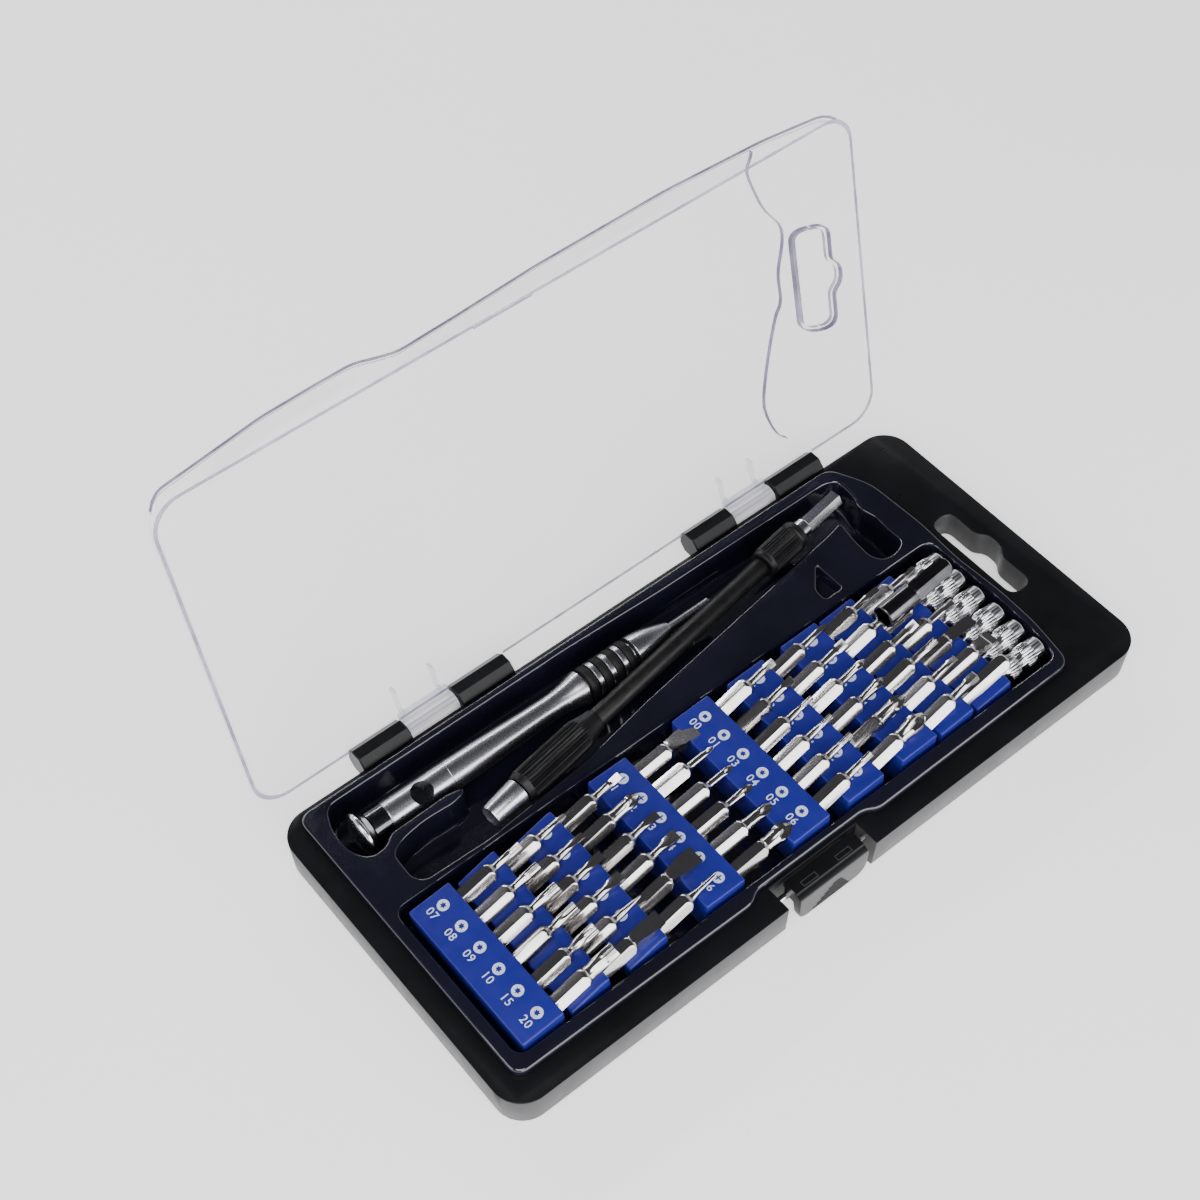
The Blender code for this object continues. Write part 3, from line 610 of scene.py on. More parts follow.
def carved(bm, changes):
    """Apply (operation, bmesh) changes to a bmesh with exact Booleans and return the result."""
    base = solid("carving", bm)
    helpers = []
    for i, (operation, other) in enumerate(changes):
        helper = solid(f"helper_{i}", other)
        helpers.append(helper)
        modifier = base.modifiers.new(f"cut_{i}", "BOOLEAN")
        modifier.operation = operation
        modifier.solver = "EXACT"
        modifier.object = helper
    result = bmesh.new()
    result.from_mesh(baked(base))
    for helper in helpers:
        bpy.data.objects.remove(helper, do_unlink=True)
    bmesh.ops.dissolve_degenerate(result, edges=result.edges, dist=0.001)
    return result


def filled(outer, holes, z):
    """A flat face with holes, as a bmesh made from a filled 2D curve."""
    curve = bpy.data.curves.new("fill", "CURVE")
    curve.dimensions = "2D"
    curve.fill_mode = "BOTH"
    for outline in (outer, *holes):
        spline = curve.splines.new("POLY")
        spline.points.add(len(outline) - 1)
        spline.use_cyclic_u = True
        for point, (x, y) in zip(spline.points, outline):
            point.co = (x, y, 0.0, 1.0)
    bm = bmesh.new()
    bm.from_mesh(baked(put("fill", curve)))
    for vert in bm.verts:
        vert.co.z = z
    return bm


# ---------------------------------------------------------------- case outlines

def lip_outline():
    return rounded(
        [(-87.5, 41.3), (-87.5, -37.2), (-24.5, -37.7), (-21.5, -35.8), (9.5, -35.8),
         (12.5, -37.7), (73.4, -37.2), (75.7, -24.0), (76.1, -12.0), (75.3, 1.0),
         (76.1, 14.0), (75.3, 31.0), (70.2, 41.3)], 3.5)


def bit_pocket():
    return rounded(
        [(-84.3, 9.0), (-84.3, -33.7), (72.2, -33.7), (73.6, -24.0), (74.0, -12.0), (73.4, 9.0)], 3.0)


def tool_pocket():
    """The pocket for the driver and the extension, with a wavy bay for loose parts at its right end."""
    return rounded(
        [(-80.8, 39.3), (-83.3, 33.0), (-83.2, 27.0), (-80.6, 23.0), (-76.4, 23.2),
         (-74.0, 25.2), (-58.0, 25.5), (-54.4, 24.3), (-55.6, 23.0), (-58.5, 22.4), (-66.0, 22.9),
         (-72.0, 22.2), (-76.2, 20.6), (-76.4, 13.4), (-74.7, 11.2), (-57.5, 10.6),
         (-30.0, 12.8), (-10.0, 16.4), (56.5, 25.8), (61.2, 27.0), (60.0, 21.1), (59.6, 14.6),
         (61.2, 11.8), (64.8, 11.5), (68.4, 13.0), (68.2, 18.8), (68.7, 22.4), (67.4, 26.8),
         (69.0, 31.9), (69.0, 36.4), (66.4, 37.8), (14.0, 38.2), (-14.0, 39.2)], 2.5)


def corner_recess():
    """A small shallow recess in the tray's web."""
    return rounded([(47.6, 20.6), (42.6, 15.2), (42.4, 12.0), (47.6, 12.0)], 1.0)


def slot_outline(grow=0.0):
    outline = rounded(
        [(78.4, 13.2), (78.4, -14.4), (84.8, -14.4), (84.8, -4.6), (87.0, -2.2),
         (87.0, 1.7), (84.8, 4.1), (84.8, 13.2)], 2.8)
    return offset(outline, grow)


# ---------------------------------------------------------------- base

def base_body():
    """Outer body with drafted walls and rounded top and bottom edges."""
    outline = rounded_rectangle(HALF_X, HALF_Y, CORNER_RADIUS)
    profile = ((-DRAFT - 0.7, 0.0), (-DRAFT - 0.2, 0.15), (-DRAFT, 0.6), (0.0, 9.82),
               (-0.06, 9.94), (-0.18, 10.0))
    return loft([[(x, y, z) for x, y in offset(outline, inset)] for inset, z in profile])


RIM_ANGLE = 1.2
RIM_ROUND = 0.3
BASE_WALL = 1.8


def make_base(look, paler_reflection_look):
    """The case's base: room for the tray, a hollow handle end, the slot and the latch's notch."""
    changes = [("DIFFERENCE", prism(offset(lip_outline(), -0.6), 1.6, 14.0))]
    inner_x = HALF_X - BASE_WALL
    inner_y = HALF_Y - BASE_WALL
    hollow = rounded(
        [(77.6, 38.0), (78.0, 14.0), (77.6, 0.0), (78.0, -10.0), (77.8, -20.0), (75.6, -inner_y),
         (inner_x, -inner_y), (inner_x, inner_y), (74.6, inner_y)], 3.0)
    handle = carved(
        prism(hollow, -2.0, 8.4),
        [("DIFFERENCE", prism(slot_outline(1.5), SLOT_COLLAR_Z, 12.0))])
    changes.append(("DIFFERENCE", handle))
    changes.append(("DIFFERENCE", prism(slot_outline(), -5.0, 15.0)))
    changes.append(("DIFFERENCE", box((NOTCH_X[0], -50, -2), (NOTCH_X[1], NOTCH_BACK, 14))))
    bm = carved(base_body(), changes)
    # Round the top rims of the slot and the notch, which are the steep edges at the top.
    rims = []
    for edge in bm.edges:
        at_top = all(abs(v.co.z - BASE_HEIGHT) < 0.02 for v in edge.verts)
        if at_top and edge.is_manifold and edge.calc_face_angle(0.0) > RIM_ANGLE:
            rims.append(edge)
    bmesh.ops.bevel(bm, geom=rims, offset=RIM_ROUND, segments=3, profile=0.5, affect="EDGES")
    bm.normal_update()
    for face in bm.faces:
        centre = face.calc_center_median()
        behind_latch = abs(centre.y - NOTCH_BACK) < 1.0
        # Upright faces take the paler look, which is painted reflection; the face behind the latch stays
        # black.
        face.material_index = int(abs(face.normal.z) < 0.3 and not behind_latch)
    make("case_base", bm, (look, paler_reflection_look), "root", ("base_shell",), weld=0.005)


KNUCKLE_RADIUS = 3.6
KNUCKLE_CHAMFER = 0.3


def make_knuckles(look):
    """Octagonal hinge blocks on the base's back edge."""
    apothem = KNUCKLE_RADIUS * math.cos(math.pi / 8)
    eight = polygon(8, apothem)
    small = polygon(8, apothem - KNUCKLE_CHAMFER)
    for side, spans in HINGES.items():
        for i, (start, end) in enumerate(spans["base"], 1):
            bm = stack([(start, small), (start + KNUCKLE_CHAMFER, eight),
                        (end - KNUCKLE_CHAMFER, eight), (end, small)], 32)
            make(f"base_knuckle_{side}_{i}", bm, look, "root", (), place=TO_HINGE)


# ---------------------------------------------------------------- tray

# The rounded lip of every pocket: how far out from its outline, and how far down
POCKET_LIP = ((0.95, 0.0), (0.6, 0.02), (0.3, 0.14), (0.1, 0.4), (0.0, 0.85))


def pocket_walls(bm, outline, floor):
    """A pocket's rounded lip, drafted wall, fillet and floor. Offsets are outward."""
    depth = TRAY_TOP - floor
    steps = [(out, TRAY_TOP - down) for out, down in POCKET_LIP]
    steps += [(-0.12, TRAY_TOP - 0.4 * depth), (-0.3, floor + 0.9), (-0.45, floor + 0.45),
              (-0.8, floor + 0.12), (-1.2, floor)]
    bridge(bm, [level_ring(bm, offset(outline, out), z) for out, z in steps])
    return offset(outline, steps[0][0]), offset(outline, steps[-1][0])


def make_tray(look):
    """The vacuum-formed sheet: its edge, its web and its pockets."""
    bm = bmesh.new()
    lip = lip_outline()
    edge = ((0.0, 10.35), (0.0, 11.1), (-0.1, 11.5), (-0.35, 11.86), (-0.65, 11.98), (-0.95, TRAY_TOP))
    bridge(bm, [level_ring(bm, offset(lip, out), z) for out, z in edge])
    pockets = ((bit_pocket(), POCKET_FLOOR), (tool_pocket(), POCKET_FLOOR), (corner_recess(), 9.0))
    holes = []
    floors = []
    for outline, floor in pockets:
        rim, inner = pocket_walls(bm, outline, floor)
        holes.append(rim)
        floors.append((inner, floor))
    join(bm, filled(offset(lip, edge[-1][0]), holes, TRAY_TOP))
    for inner, z in floors:
        join(bm, filled(inner, (), z))
    make("tray", bm, look, "root", ("tray_insert",), weld=0.002, sharp=50.0)


# ---------------------------------------------------------------- latch

LATCH_CORNER = 3.4
LATCH_CORNER_STEPS = 8
LATCH_BOTTOM = 0.3
LATCH_FRONT = -42.95
# The two thin frames on the latch's top
LATCH_FRAME_X = ((-12.6, -8.4), (-2.6, 1.6))
LATCH_FRAME_Y = (-40.9, -39.5)
LATCH_FRAME_Z = (9.86, 9.96)
LATCH_FRAME_LINE = 0.16
# The ribs on its front, which get shorter upward. Their near-black against the paler front face is painted
# shade, standing for shaded grooves.
LATCH_RIBS = 6
LATCH_RIB_PITCH = 0.9
LATCH_RIB_BOTTOM = 1.6
LATCH_RIB_HALF = 0.15


def latch_section(x, bottom):
    """The latch's outline in the YZ plane: a thick top, a recess behind and a thin front plate."""
    profile = [(-42.75, bottom), (LATCH_FRONT, bottom + 1.4), (LATCH_FRONT, 8.65), (-42.75, 8.9),
               (-41.5, 9.4), (-41.2, 9.9), (-37.4, 9.9), (-37.2, 9.7), (-37.2, 8.4), (-37.7, 8.0),
               (-37.7, 5.9), (-40.6, 5.9), (-41.2, min(bottom, 5.6))]
    return [(x, y, z) for y, z in profile]


def latch_plate():
    """The latch's body, its lower corners rounded."""
    rings = []
    for near, far in ((LATCH_X[0], 1), (LATCH_X[1], -1)):
        part = []
        for k in range(LATCH_CORNER_STEPS + 1):
            reach = LATCH_CORNER * k / LATCH_CORNER_STEPS
            rise = LATCH_CORNER - math.sqrt(max(0.0, LATCH_CORNER ** 2 - (LATCH_CORNER - reach) ** 2))
            part.append(latch_section(near + far * reach, LATCH_BOTTOM + rise * 0.8))
        rings += part if far > 0 else list(reversed(part))
    return loft(rings)


def make_latch(look, paler_reflection_look, groove_shade_look):
    bm = latch_plate()
    bm.normal_update()
    for face in bm.faces:
        # The front face takes the paler look: painted reflection, as on the walls.
        face.material_index = int(face.calc_center_median().y < -42.8)
    make("latch_plate", bm, (look, paler_reflection_look), "latch", ("latch",))
    bm = bmesh.new()
    front, back = LATCH_FRAME_Y
    low, high = LATCH_FRAME_Z
    for x0, x1 in LATCH_FRAME_X:
        outline = [(x0, front), (x1, front), (x1, back), (x0, back)]
        inner = offset(outline, -LATCH_FRAME_LINE)
        rings = [level_ring(bm, points, z) for points, z in (
            (outline, low), (outline, high), (inner, high), (inner, low))]
        bridge(bm, rings + rings[:1])
    # The frames take the same paler look: painted highlight along their thin raised lines.
    make("latch_frames", bm, paler_reflection_look, "latch", ())
    bm = bmesh.new()
    for i in range(LATCH_RIBS):
        z = LATCH_RIB_BOTTOM + i * LATCH_RIB_PITCH
        share = i / (LATCH_RIBS - 1)
        low = (-11.2 + 5.4 * share, LATCH_FRONT - 0.11, z - LATCH_RIB_HALF)
        join(bm, box(low, (-0.6 - 2.6 * share, LATCH_FRONT + 0.05, z + LATCH_RIB_HALF)))
    bevel(bm, 0.04, 2)
    # The near-black ribs are painted shade for the grooves between the paler strips.
    make("latch_ribs", bm, groove_shade_look, "latch", ())


# ---------------------------------------------------------------- lid

def add_to_lid(name, bm, look, replaces=(), weld=0.0):
    """Make a piece of the lid. It is drawn closed and stands open."""
    make(name, bm, look, "lid", replaces, place=LID_PLACE, weld=weld)


def smoothstep(t):
    t = min(1.0, max(0.0, t))
    return t * t * (3 - 2 * t)


def edge_height(x):
    """Height of the lid's front and back edge, averaged over a short stretch to smooth its bends."""
    nearby = [x + EDGE_SMOOTHING * k for k in range(-2, 3)]
    return float(np.mean(np.interp(nearby, *zip(*LID_EDGE_PROFILE))))


def half_depth(x):
    past = abs(x) - (HALF_X - CORNER_RADIUS)
    if past <= 0:
        return HALF_Y
    return HALF_Y - CORNER_RADIUS + math.sqrt(max(0.0, CORNER_RADIUS ** 2 - past ** 2))


def edge_distance(x, y):
    """Distance from a point to the lid's outline, inward."""
    over_x = abs(x) - (HALF_X - CORNER_RADIUS)
    over_y = abs(y) - (HALF_Y - CORNER_RADIUS)
    if over_x > 0 and over_y > 0:
        return CORNER_RADIUS - math.hypot(over_x, over_y)
    return CORNER_RADIUS - max(over_x, over_y)


def panel_height(x, y):
    """Height of the lid's outer skin."""
    taper = smoothstep((PANEL_END_X - abs(x)) / PANEL_SLOPE_X)
    inward = half_depth(x) - abs(y)
    z = edge_height(x) + LID_RISE * taper * smoothstep(inward / PANEL_SLOPE_Y)
    near = min(LID_EDGE_RADIUS, max(0.0, edge_distance(x, y)))
    drop = LID_EDGE_RADIUS - math.sqrt(LID_EDGE_RADIUS ** 2 - (LID_EDGE_RADIUS - near) ** 2)
    return z - drop


# Columns in the lid's rounded corners, their spacing elsewhere, and the points along each one
CORNER_COLUMNS = 8
COLUMN_STEP = 2.0
SKIN_INSETS = (0.0, 0.15, 0.5, 1.0, 1.7, 2.6, 4.0, 5.5, 7.0, 9.0, 11.0, 13.0, 20.0, 30.0)


def lid_skin(shrink):
    """Columns of points over the panel, from the front rim to the back rim."""
    stations = []
    for k in range(CORNER_COLUMNS + 1):
        share = math.sin(math.pi / 2 * k / CORNER_COLUMNS)
        stations.append(HALF_X - CORNER_RADIUS * (1 - share))
    x = HALF_X - CORNER_RADIUS - COLUMN_STEP
    while x > 0:
        stations.append(x)
        x -= COLUMN_STEP
    stations = sorted(stations + [-x for x in stations])
    rows = []
    for x in stations:
        depth = half_depth(x)
        front = [inset - depth for inset in SKIN_INSETS]
        ys = [*front, 0.0, *(-y for y in reversed(front))]
        row = []
        for y in ys:
            z = panel_height(x, y)
            row.append(Vector((x * (1 - shrink / HALF_X), y * (1 - shrink / HALF_Y), z - shrink)))
        rows.append(row)
    return rows


def skin_faces(bm, rows):
    made = [[bm.verts.new(point) for point in row] for row in rows]
    for left, right in zip(made, made[1:]):
        for k in range(len(left) - 1):
            bm.faces.new((left[k], right[k], right[k + 1], left[k + 1]))
    loop = [row[0] for row in made] + made[-1][1:] + [row[-1] for row in reversed(made[:-1])]
    loop += list(reversed(made[0][1:-1]))
    return loop


def lid_shell():
    """The closed shell: outer skin, inner skin and the rim between them."""
    bm = bmesh.new()
    outer = skin_faces(bm, lid_skin(0.0))
    inner = skin_faces(bm, lid_skin(LID_WALL))
    lower_outer = ring_of(bm, [(v.co.x, v.co.y, LID_RIM_Z) for v in outer])
    lower_inner = ring_of(bm, [(v.co.x, v.co.y, LID_RIM_Z) for v in inner])
    bridge(bm, [outer, lower_outer])
    bridge(bm, [inner, lower_inner])
    bridge(bm, [lower_outer, lower_inner])
    bmesh.ops.recalc_face_normals(bm, faces=bm.faces)
    return bm


def rod(span, radius, y=0.0, z=0.0, count=48):
    """A round bar along X."""
    return moved(stack([(x, circle(radius)) for x in span], count), Matrix.Translation((0, y, z)))


def direction(path, i):
    """Which way a path runs at one of its points."""
    return (Vector(path[min(len(path) - 1, i + 1)]) - Vector(path[max(0, i - 1)])).normalized()


def wall_strip(path, thickness, height):
    """A low rib under the panel that follows a path of (x, y) points."""
    rings = []
    for i, (x, y) in enumerate(path):
        along = direction(path, i)
        side = Vector((-along.y, along.x)) * thickness / 2
        top = panel_height(x, y) - LID_WALL + 0.3
        rings.append([
            (x + side.x, y + side.y, top), (x + side.x, y + side.y, top - height),
            (x - side.x, y - side.y, top - height), (x - side.x, y - side.y, top)])
    return loft(rings)


def smooth_path(points, steps=8):
    """Catmull-Rom points through a short list of (x, y)."""
    ends = [points[0], *points, points[-1]]
    result = []
    for a, b, c, d in zip(ends, ends[1:], ends[2:], ends[3:]):
        a, b, c, d = Vector(a), Vector(b), Vector(c), Vector(d)
        for k in range(steps):
            t = k / steps
            point = 0.5 * ((2 * b) + (c - a) * t + (2 * a - 5 * b + 4 * c - d) * t ** 2
                           + (3 * b - a - 3 * c + d) * t ** 3)
            result.append(tuple(point))
    result.append(tuple(points[-1]))
    return result


# A box round the slot and its collar
SLOT_X = (77.0, 89.0)
SLOT_REACH_Y = 15.5


def is_lid_edge(face):
    """True on the rim and inside the slot."""
    centre = face.calc_center_median()
    if centre.z < LID_RIM_Z + 0.05:
        return True
    in_slot = SLOT_X[0] < centre.x < SLOT_X[1] and abs(centre.y) < SLOT_REACH_Y
    return in_slot and abs(face.normal.z) < 0.3


def bright_line(name, path, radius, look):
    """A thin round line inside the clear wall, where its rounded edge bends the light."""
    rings = []
    for i, point in enumerate(path):
        along = direction(path, i)
        side = along.cross(Vector((0, 0, 1))).normalized()
        up = side.cross(along)
        rings.append([Vector(point) + side * y + up * z for _, y, z in section(0.0, circle(radius), 10)])
    add_to_lid(name, loft(rings), look)


def shoulder_path(inset):
    """Points just under the edge between the front wall and the panel."""
    points = []
    for k in range(-60, 61):
        x = (HALF_X - 2.2) * k / 60
        y = inset - half_depth(x)
        points.append((x, y, panel_height(x, y) - 0.34))
    return points


# Room in the lid for the base's knuckles, and the sizes of the lid's own
KNUCKLE_ROOM = 4.0
KNUCKLE_GAP = 0.3
LID_KNUCKLE_RADIUS = 2.6
LID_KNUCKLE_BORE = 1.08
FIN_INSET = 1.5
FIN_HALF = 0.4


def make_lid_cover(look, edge_reflection_look):
    """The shell with its slot, catch tab, latch window and room for the base's knuckles."""
    tab = box((CATCH_X[0], -HALF_Y + 0.02, 9.85), (CATCH_X[1], -HALF_Y + LID_WALL, 12.0))
    window = box((CATCH_X[0] + 1.2, -50, 11.6), (CATCH_X[1] - 1.2, -39, 13.2))
    changes = [("DIFFERENCE", prism(slot_outline(), 5.0, 40.0)), ("UNION", tab), ("DIFFERENCE", window)]
    for spans in HINGES.values():
        (start, _), (_, end) = spans["base"]
        inner_start, inner_end = spans["lid"]
        for span in ((start - KNUCKLE_GAP, inner_start), (inner_end, end + KNUCKLE_GAP)):
            changes.append(("DIFFERENCE", rod(span, KNUCKLE_ROOM, HINGE_Y, HINGE_Z)))
    bm = carved(lid_shell(), changes)
    bm.normal_update()
    for face in bm.faces:
        # Rim and slot faces take the darker edge look, which is partly painted reflection.
        face.material_index = int(is_lid_edge(face))
    add_to_lid("lid_cover", bm, (look, edge_reflection_look), ("lid",), 0.002)


def make_lid_knuckle(side, x0, x1, look, edge_reflection_look):
    """A clear knuckle with its arm, two dark lines along it and two fins on the panel."""
    arm = box((x0, 42.0, LID_RIM_Z + 0.12), (x1, HINGE_Y - 0.4, 11.6))
    bore = rod((x0 - 1, x1 + 1), LID_KNUCKLE_BORE, HINGE_Y, HINGE_Z)
    knuckle = rod((x0, x1), LID_KNUCKLE_RADIUS, HINGE_Y, HINGE_Z)
    knuckle = carved(knuckle, [("UNION", arm), ("DIFFERENCE", bore)])
    add_to_lid(f"lid_knuckle_{side}", knuckle, look)
    for i, (y, z) in enumerate(((43.51, 8.17), (44.16, 7.28)), 1):
        line = [(x0 + 0.2, y, z), (x1 - 0.2, y, z)]
        bright_line(f"lid_knuckle_line_{side}_{i}", line, 0.08, edge_reflection_look)
    outline = [(36.6, 12.4), (41.8, 12.4), (42.0, 11.5), (44.6, 11.5), (44.6, 12.1), (41.6, 13.5),
               (36.6, 14.6)]
    for i, x in enumerate((x0 + FIN_INSET, x1 - FIN_INSET), 1):
        fin = loft([[(x + shift, y, z) for y, z in outline] for shift in (-FIN_HALF, FIN_HALF)])
        add_to_lid(f"lid_fin_{side}_{i}", fin, look)


def make_lid(look, edge_reflection_look, block_look):
    make_lid_cover(look, edge_reflection_look)
    for side, spans in HINGES.items():
        make_lid_knuckle(side, *spans["lid"], block_look, edge_reflection_look)
    bow = smooth_path([(68.5, -41.2), (72.7, -23.7), (76.2, -15.7), (74.6, -4.0), (74.4, 4.0),
                       (72.4, 10.6), (66.8, 35.3), (69.0, 40.8)])
    add_to_lid("lid_bow_rib", wall_strip(bow, 0.3, 0.9), edge_reflection_look)
    bright_line("lid_front_edge", shoulder_path(0.46), 0.31, edge_reflection_look)
    bright_line("lid_front_inner_edge", shoulder_path(1.7), 0.07, edge_reflection_look)
    ring = slot_outline(0.9)
    add_to_lid("lid_slot_rib", wall_strip(ring + ring[:1], 0.3, 1.2), edge_reflection_look)


# ---------------------------------------------------------------- holders

def bit_y(holder, index):
    return HOLDER_MIDDLE_Y + holder.shift + (BITS_PER_ROW / 2 - 0.5 - index) * BIT_PITCH


def bit_place(holder, index):
    slope = math.radians(holder.slope)
    x = holder.x + holder.under * math.sin(slope)
    z = holder.z - holder.under * math.cos(slope)
    place = Matrix.Translation((x, bit_y(holder, index), z))
    return place @ Matrix.Rotation(-math.radians(holder.bit_slope), 4, "Y")


def holder_place(holder):
    place = Matrix.Translation((holder.x, 0.0, holder.z))
    return place @ Matrix.Rotation(-math.radians(holder.slope), 4, "Y")


HOLDER_ROUND = 0.45
HOLDER_GAP = 0.3
HOLE_APOTHEM = 2.32
HOLE_SPARE = 0.3
HOLE_OUT = 5.0
GROOVE_X = (-1.0, 18.0)
GROOVE_GAP = 0.35
GROOVE_TOP = 14.0


def make_holder(number, holder, previous, look):
    """A blue bar with a hexagonal hole for each bit, and grooves under the bits of the row before."""
    slope = math.radians(holder.slope)
    width = holder.width
    left_top = holder.z - width * math.sin(slope)
    height = (left_top - POCKET_FLOOR - HOLDER_GAP) / math.cos(slope)
    chamfer = holder.chamfer
    outline = [(0.0, 0.0), (0.0, -height), (-width, -height), (-width, -chamfer)]
    if chamfer:
        outline.append((-chamfer, 0.0))
    bm = loft([[(x, y, z) for x, z in outline] for y in (HOLDER_FRONT_Y, holder.back)])
    bmesh.ops.recalc_face_normals(bm, faces=bm.faces)
    bevel(bm, HOLDER_ROUND, 4)
    moved(bm, holder_place(holder))
    changes = []
    half = HEX_R + GROOVE_GAP
    for index in range(BITS_PER_ROW):
        ends = (-holder.depth - HOLE_SPARE, HOLE_OUT)
        hole = stack([(x, hexagon(HOLE_APOTHEM)) for x in ends], 24)
        changes.append(("DIFFERENCE", moved(hole, bit_place(holder, index))))
        if previous:
            groove = box((GROOVE_X[0], -half, 0.0), (GROOVE_X[1], half, GROOVE_TOP))
            join(groove, rod(GROOVE_X, half, count=24))
            changes.append(("DIFFERENCE", moved(carved(groove, ()), bit_place(previous, index))))
    bm = carved(bm, changes)
    make(f"holder_{number}", bm, look, "root", (f"bit_holder_{number}",), weld=0.003)


# The mark in the middle of each kind's label
MARKS = {
    "star": star(0.74, 0.40), "cross": cross(0.80, 0.17), "flat": blade(0.80, 0.17),
    "spade": blade(0.80, 0.17), "square": polygon(4, 0.50), "hex": hexagon(0.62),
    "tri": polygon(3, 0.38), "awl": circle(0.30), "pick": circle(0.45), "shank": hexagon(0.62),
}
LABEL_RADIUS = 1.38
LABEL_X = -4.2
NUMBER_X = -7.15
NUMBER_SIZE = 2.7
PRINT_LIFT = 0.03


def outline_of(shape, y):
    """A shape as an outline in the label column, beside the bit at y."""
    return [(LABEL_X + a, y + b) for _, a, b in section(0.0, shape, 48)]


def number_mesh(text):
    """A size number as a flat mesh, read from the front of the case."""
    curve = bpy.data.curves.new("number", "FONT")
    curve.body = text
    curve.size = NUMBER_SIZE
    curve.offset = 0.02
    curve.space_character = 1.12
    curve.align_x = "CENTER"
    curve.align_y = "CENTER"
    curve.resolution_u = 3
    return baked(put("number", curve))


def label_text(number, index):
    return LABELS[number][index] if number in LABELS else str(FIRST_LABELS[number] + index)


def make_labels(number, holder, look):
    """A white disc with its mark left open, and a size number, beside each bit."""
    bm = bmesh.new()
    kinds = ROWS.get(number)
    for index in range(BITS_PER_ROW):
        y = bit_y(holder, index)
        kind = kinds[index][0] if kinds else "hex"
        disc = outline_of(circle(LABEL_RADIUS), y)
        join(bm, filled(disc, [outline_of(MARKS[kind], y)], PRINT_LIFT))
        mesh = number_mesh(label_text(number, index))
        place = Matrix.Translation((NUMBER_X, y, PRINT_LIFT)) @ Matrix.Rotation(-math.pi / 2, 4, "Z")
        mesh.transform(place)
        bm.from_mesh(mesh)
    make(f"labels_{number}", bm, look, "root", (), place=holder_place(holder))


# ---------------------------------------------------------------- bits

BIT_APOTHEM = 2.0
HEXAGON = hexagon(BIT_APOTHEM)
BIT_SHOULDER = 9.2
TIP_END = 17.0
SHANK_END = 14.8
# The one bit with a longer hexagon, and where its shoulder is
LONG_BIT = (8, 4)
LONG_SHOULDER = 11.4
# Steps along the shoulder's cone with their radii
SHOULDER = ((-1.0, 2.32), (-0.8, 2.24), (-0.55, 2.12), (-0.3, 1.98), (-0.1, 1.84), (0.0, 1.72))


def hex_bar(start, end, apothem=BIT_APOTHEM):
    """Stations of a hexagonal bar with a chamfered start and a shoulder turned to a cone at its end."""
    scale = apothem / BIT_APOTHEM
    cone = [(end + step, hexagon(apothem, radius * scale)) for step, radius in SHOULDER]
    return [(start, hexagon(apothem, apothem)), (start + 0.3, hexagon(apothem)), *cone]


def star_tip(size, start, end, neck):
    shape = star(size)
    return [(start + 2.4, circle(max(neck, size * 0.98))), (end - 4.0, mixed(circle(size), shape, 0.15)),
            (end - 3.2, mixed(circle(size), shape, 0.7)), (end - 2.6, shape), (end - 0.12, shape),
            (end, star(size * 0.9))]


def cross_tip(size, end, neck):
    web = size * 0.20
    long = 1.1 + size * 1.6
    swelling = cross(size * 1.04, web)
    return [(end - long - 0.8, circle(max(neck, size * 0.92))),
            (end - long, mixed(circle(size), cross(size, web), 0.15)),
            (end - long * 0.8, mixed(circle(size), swelling, 0.5)),
            (end - long * 0.6, mixed(circle(size), swelling, 0.8)),
            (end - long * 0.42, cross(size * 0.95, web)),
            (end - long * 0.2, cross(size * 0.58, web * 0.95)),
            (end - 0.1, cross(size * 0.24, web * 0.8)), (end, cross(size * 0.15, web * 0.6))]


def tip(kind, size, start):
    """Stations from the hexagon's shoulder to the end of the tip."""
    end = TIP_END
    if kind == "spade":
        wide = max(1.6, size * 0.8)
        return [(start + 0.2, mixed(circle(1.7), blade(1.6, 1.45), 0.5)),
                (start + 0.9, blade(1.55, 1.35)), (start + 2.4, blade(wide, 1.1)),
                (start + 3.6, blade(size * 0.95, 0.85)), (end - 1.6, blade(size, 0.45)),
                (end - 0.5, blade(size, 0.24)), (end, blade(size, 0.17))]
    big = kind == "cross" and size >= 1.4 or kind == "star" and size > 1.6
    neck = min(1.7, size) if big else 0.92
    stations = [(start + 0.25, circle(max(1.35, neck + 0.2))), (start + 0.7, circle(neck + 0.1)),
                (start + 1.1, circle(neck))]
    if kind == "star":
        stations += star_tip(size, start, end, neck)
    elif kind == "cross":
        stations += cross_tip(size, end, neck)
    elif kind == "flat":
        stations += [(start + 3.0, circle(neck * 0.95)),
                     (start + 4.6, mixed(circle(neck * 0.9), blade(size, 0.55), 0.6)),
                     (end - 1.6, blade(size, 0.42)), (end - 0.6, blade(size, 0.24)),
                     (end, blade(size, 0.16))]
    elif kind in ("square", "hex", "tri"):
        sides = {"square": 4, "hex": 6, "tri": 3}[kind]
        shape = polygon(sides, size * (0.7 if kind == "tri" else 0.85))
        stations += [(end - 3.4, circle(neck)), (end - 2.8, mixed(circle(size), shape, 0.6)),
                     (end - 2.4, shape), (end - 0.12, shape), (end, mixed(shape, circle(0.01), 0.12))]
    elif kind == "awl":
        stations += [(start + 2.6, circle(size)), (end - 0.3, circle(0.2)), (end, circle(0.05))]
    elif kind == "pick":
        stations += [(start + 2.6, circle(0.6)), (end - 0.5, circle(0.42)), (end, circle(0.25))]
    return stations


# How far bits have turned in their holes, in degrees: in the first three rows, in the others,
# how much that wanders from bit to bit, and how much more the loose ones have turned
LEFT_ROLL = -7.0
RIGHT_ROLL = -12.0
ROLL_WANDER = 6.0
LOOSE_ROLL = 16.0


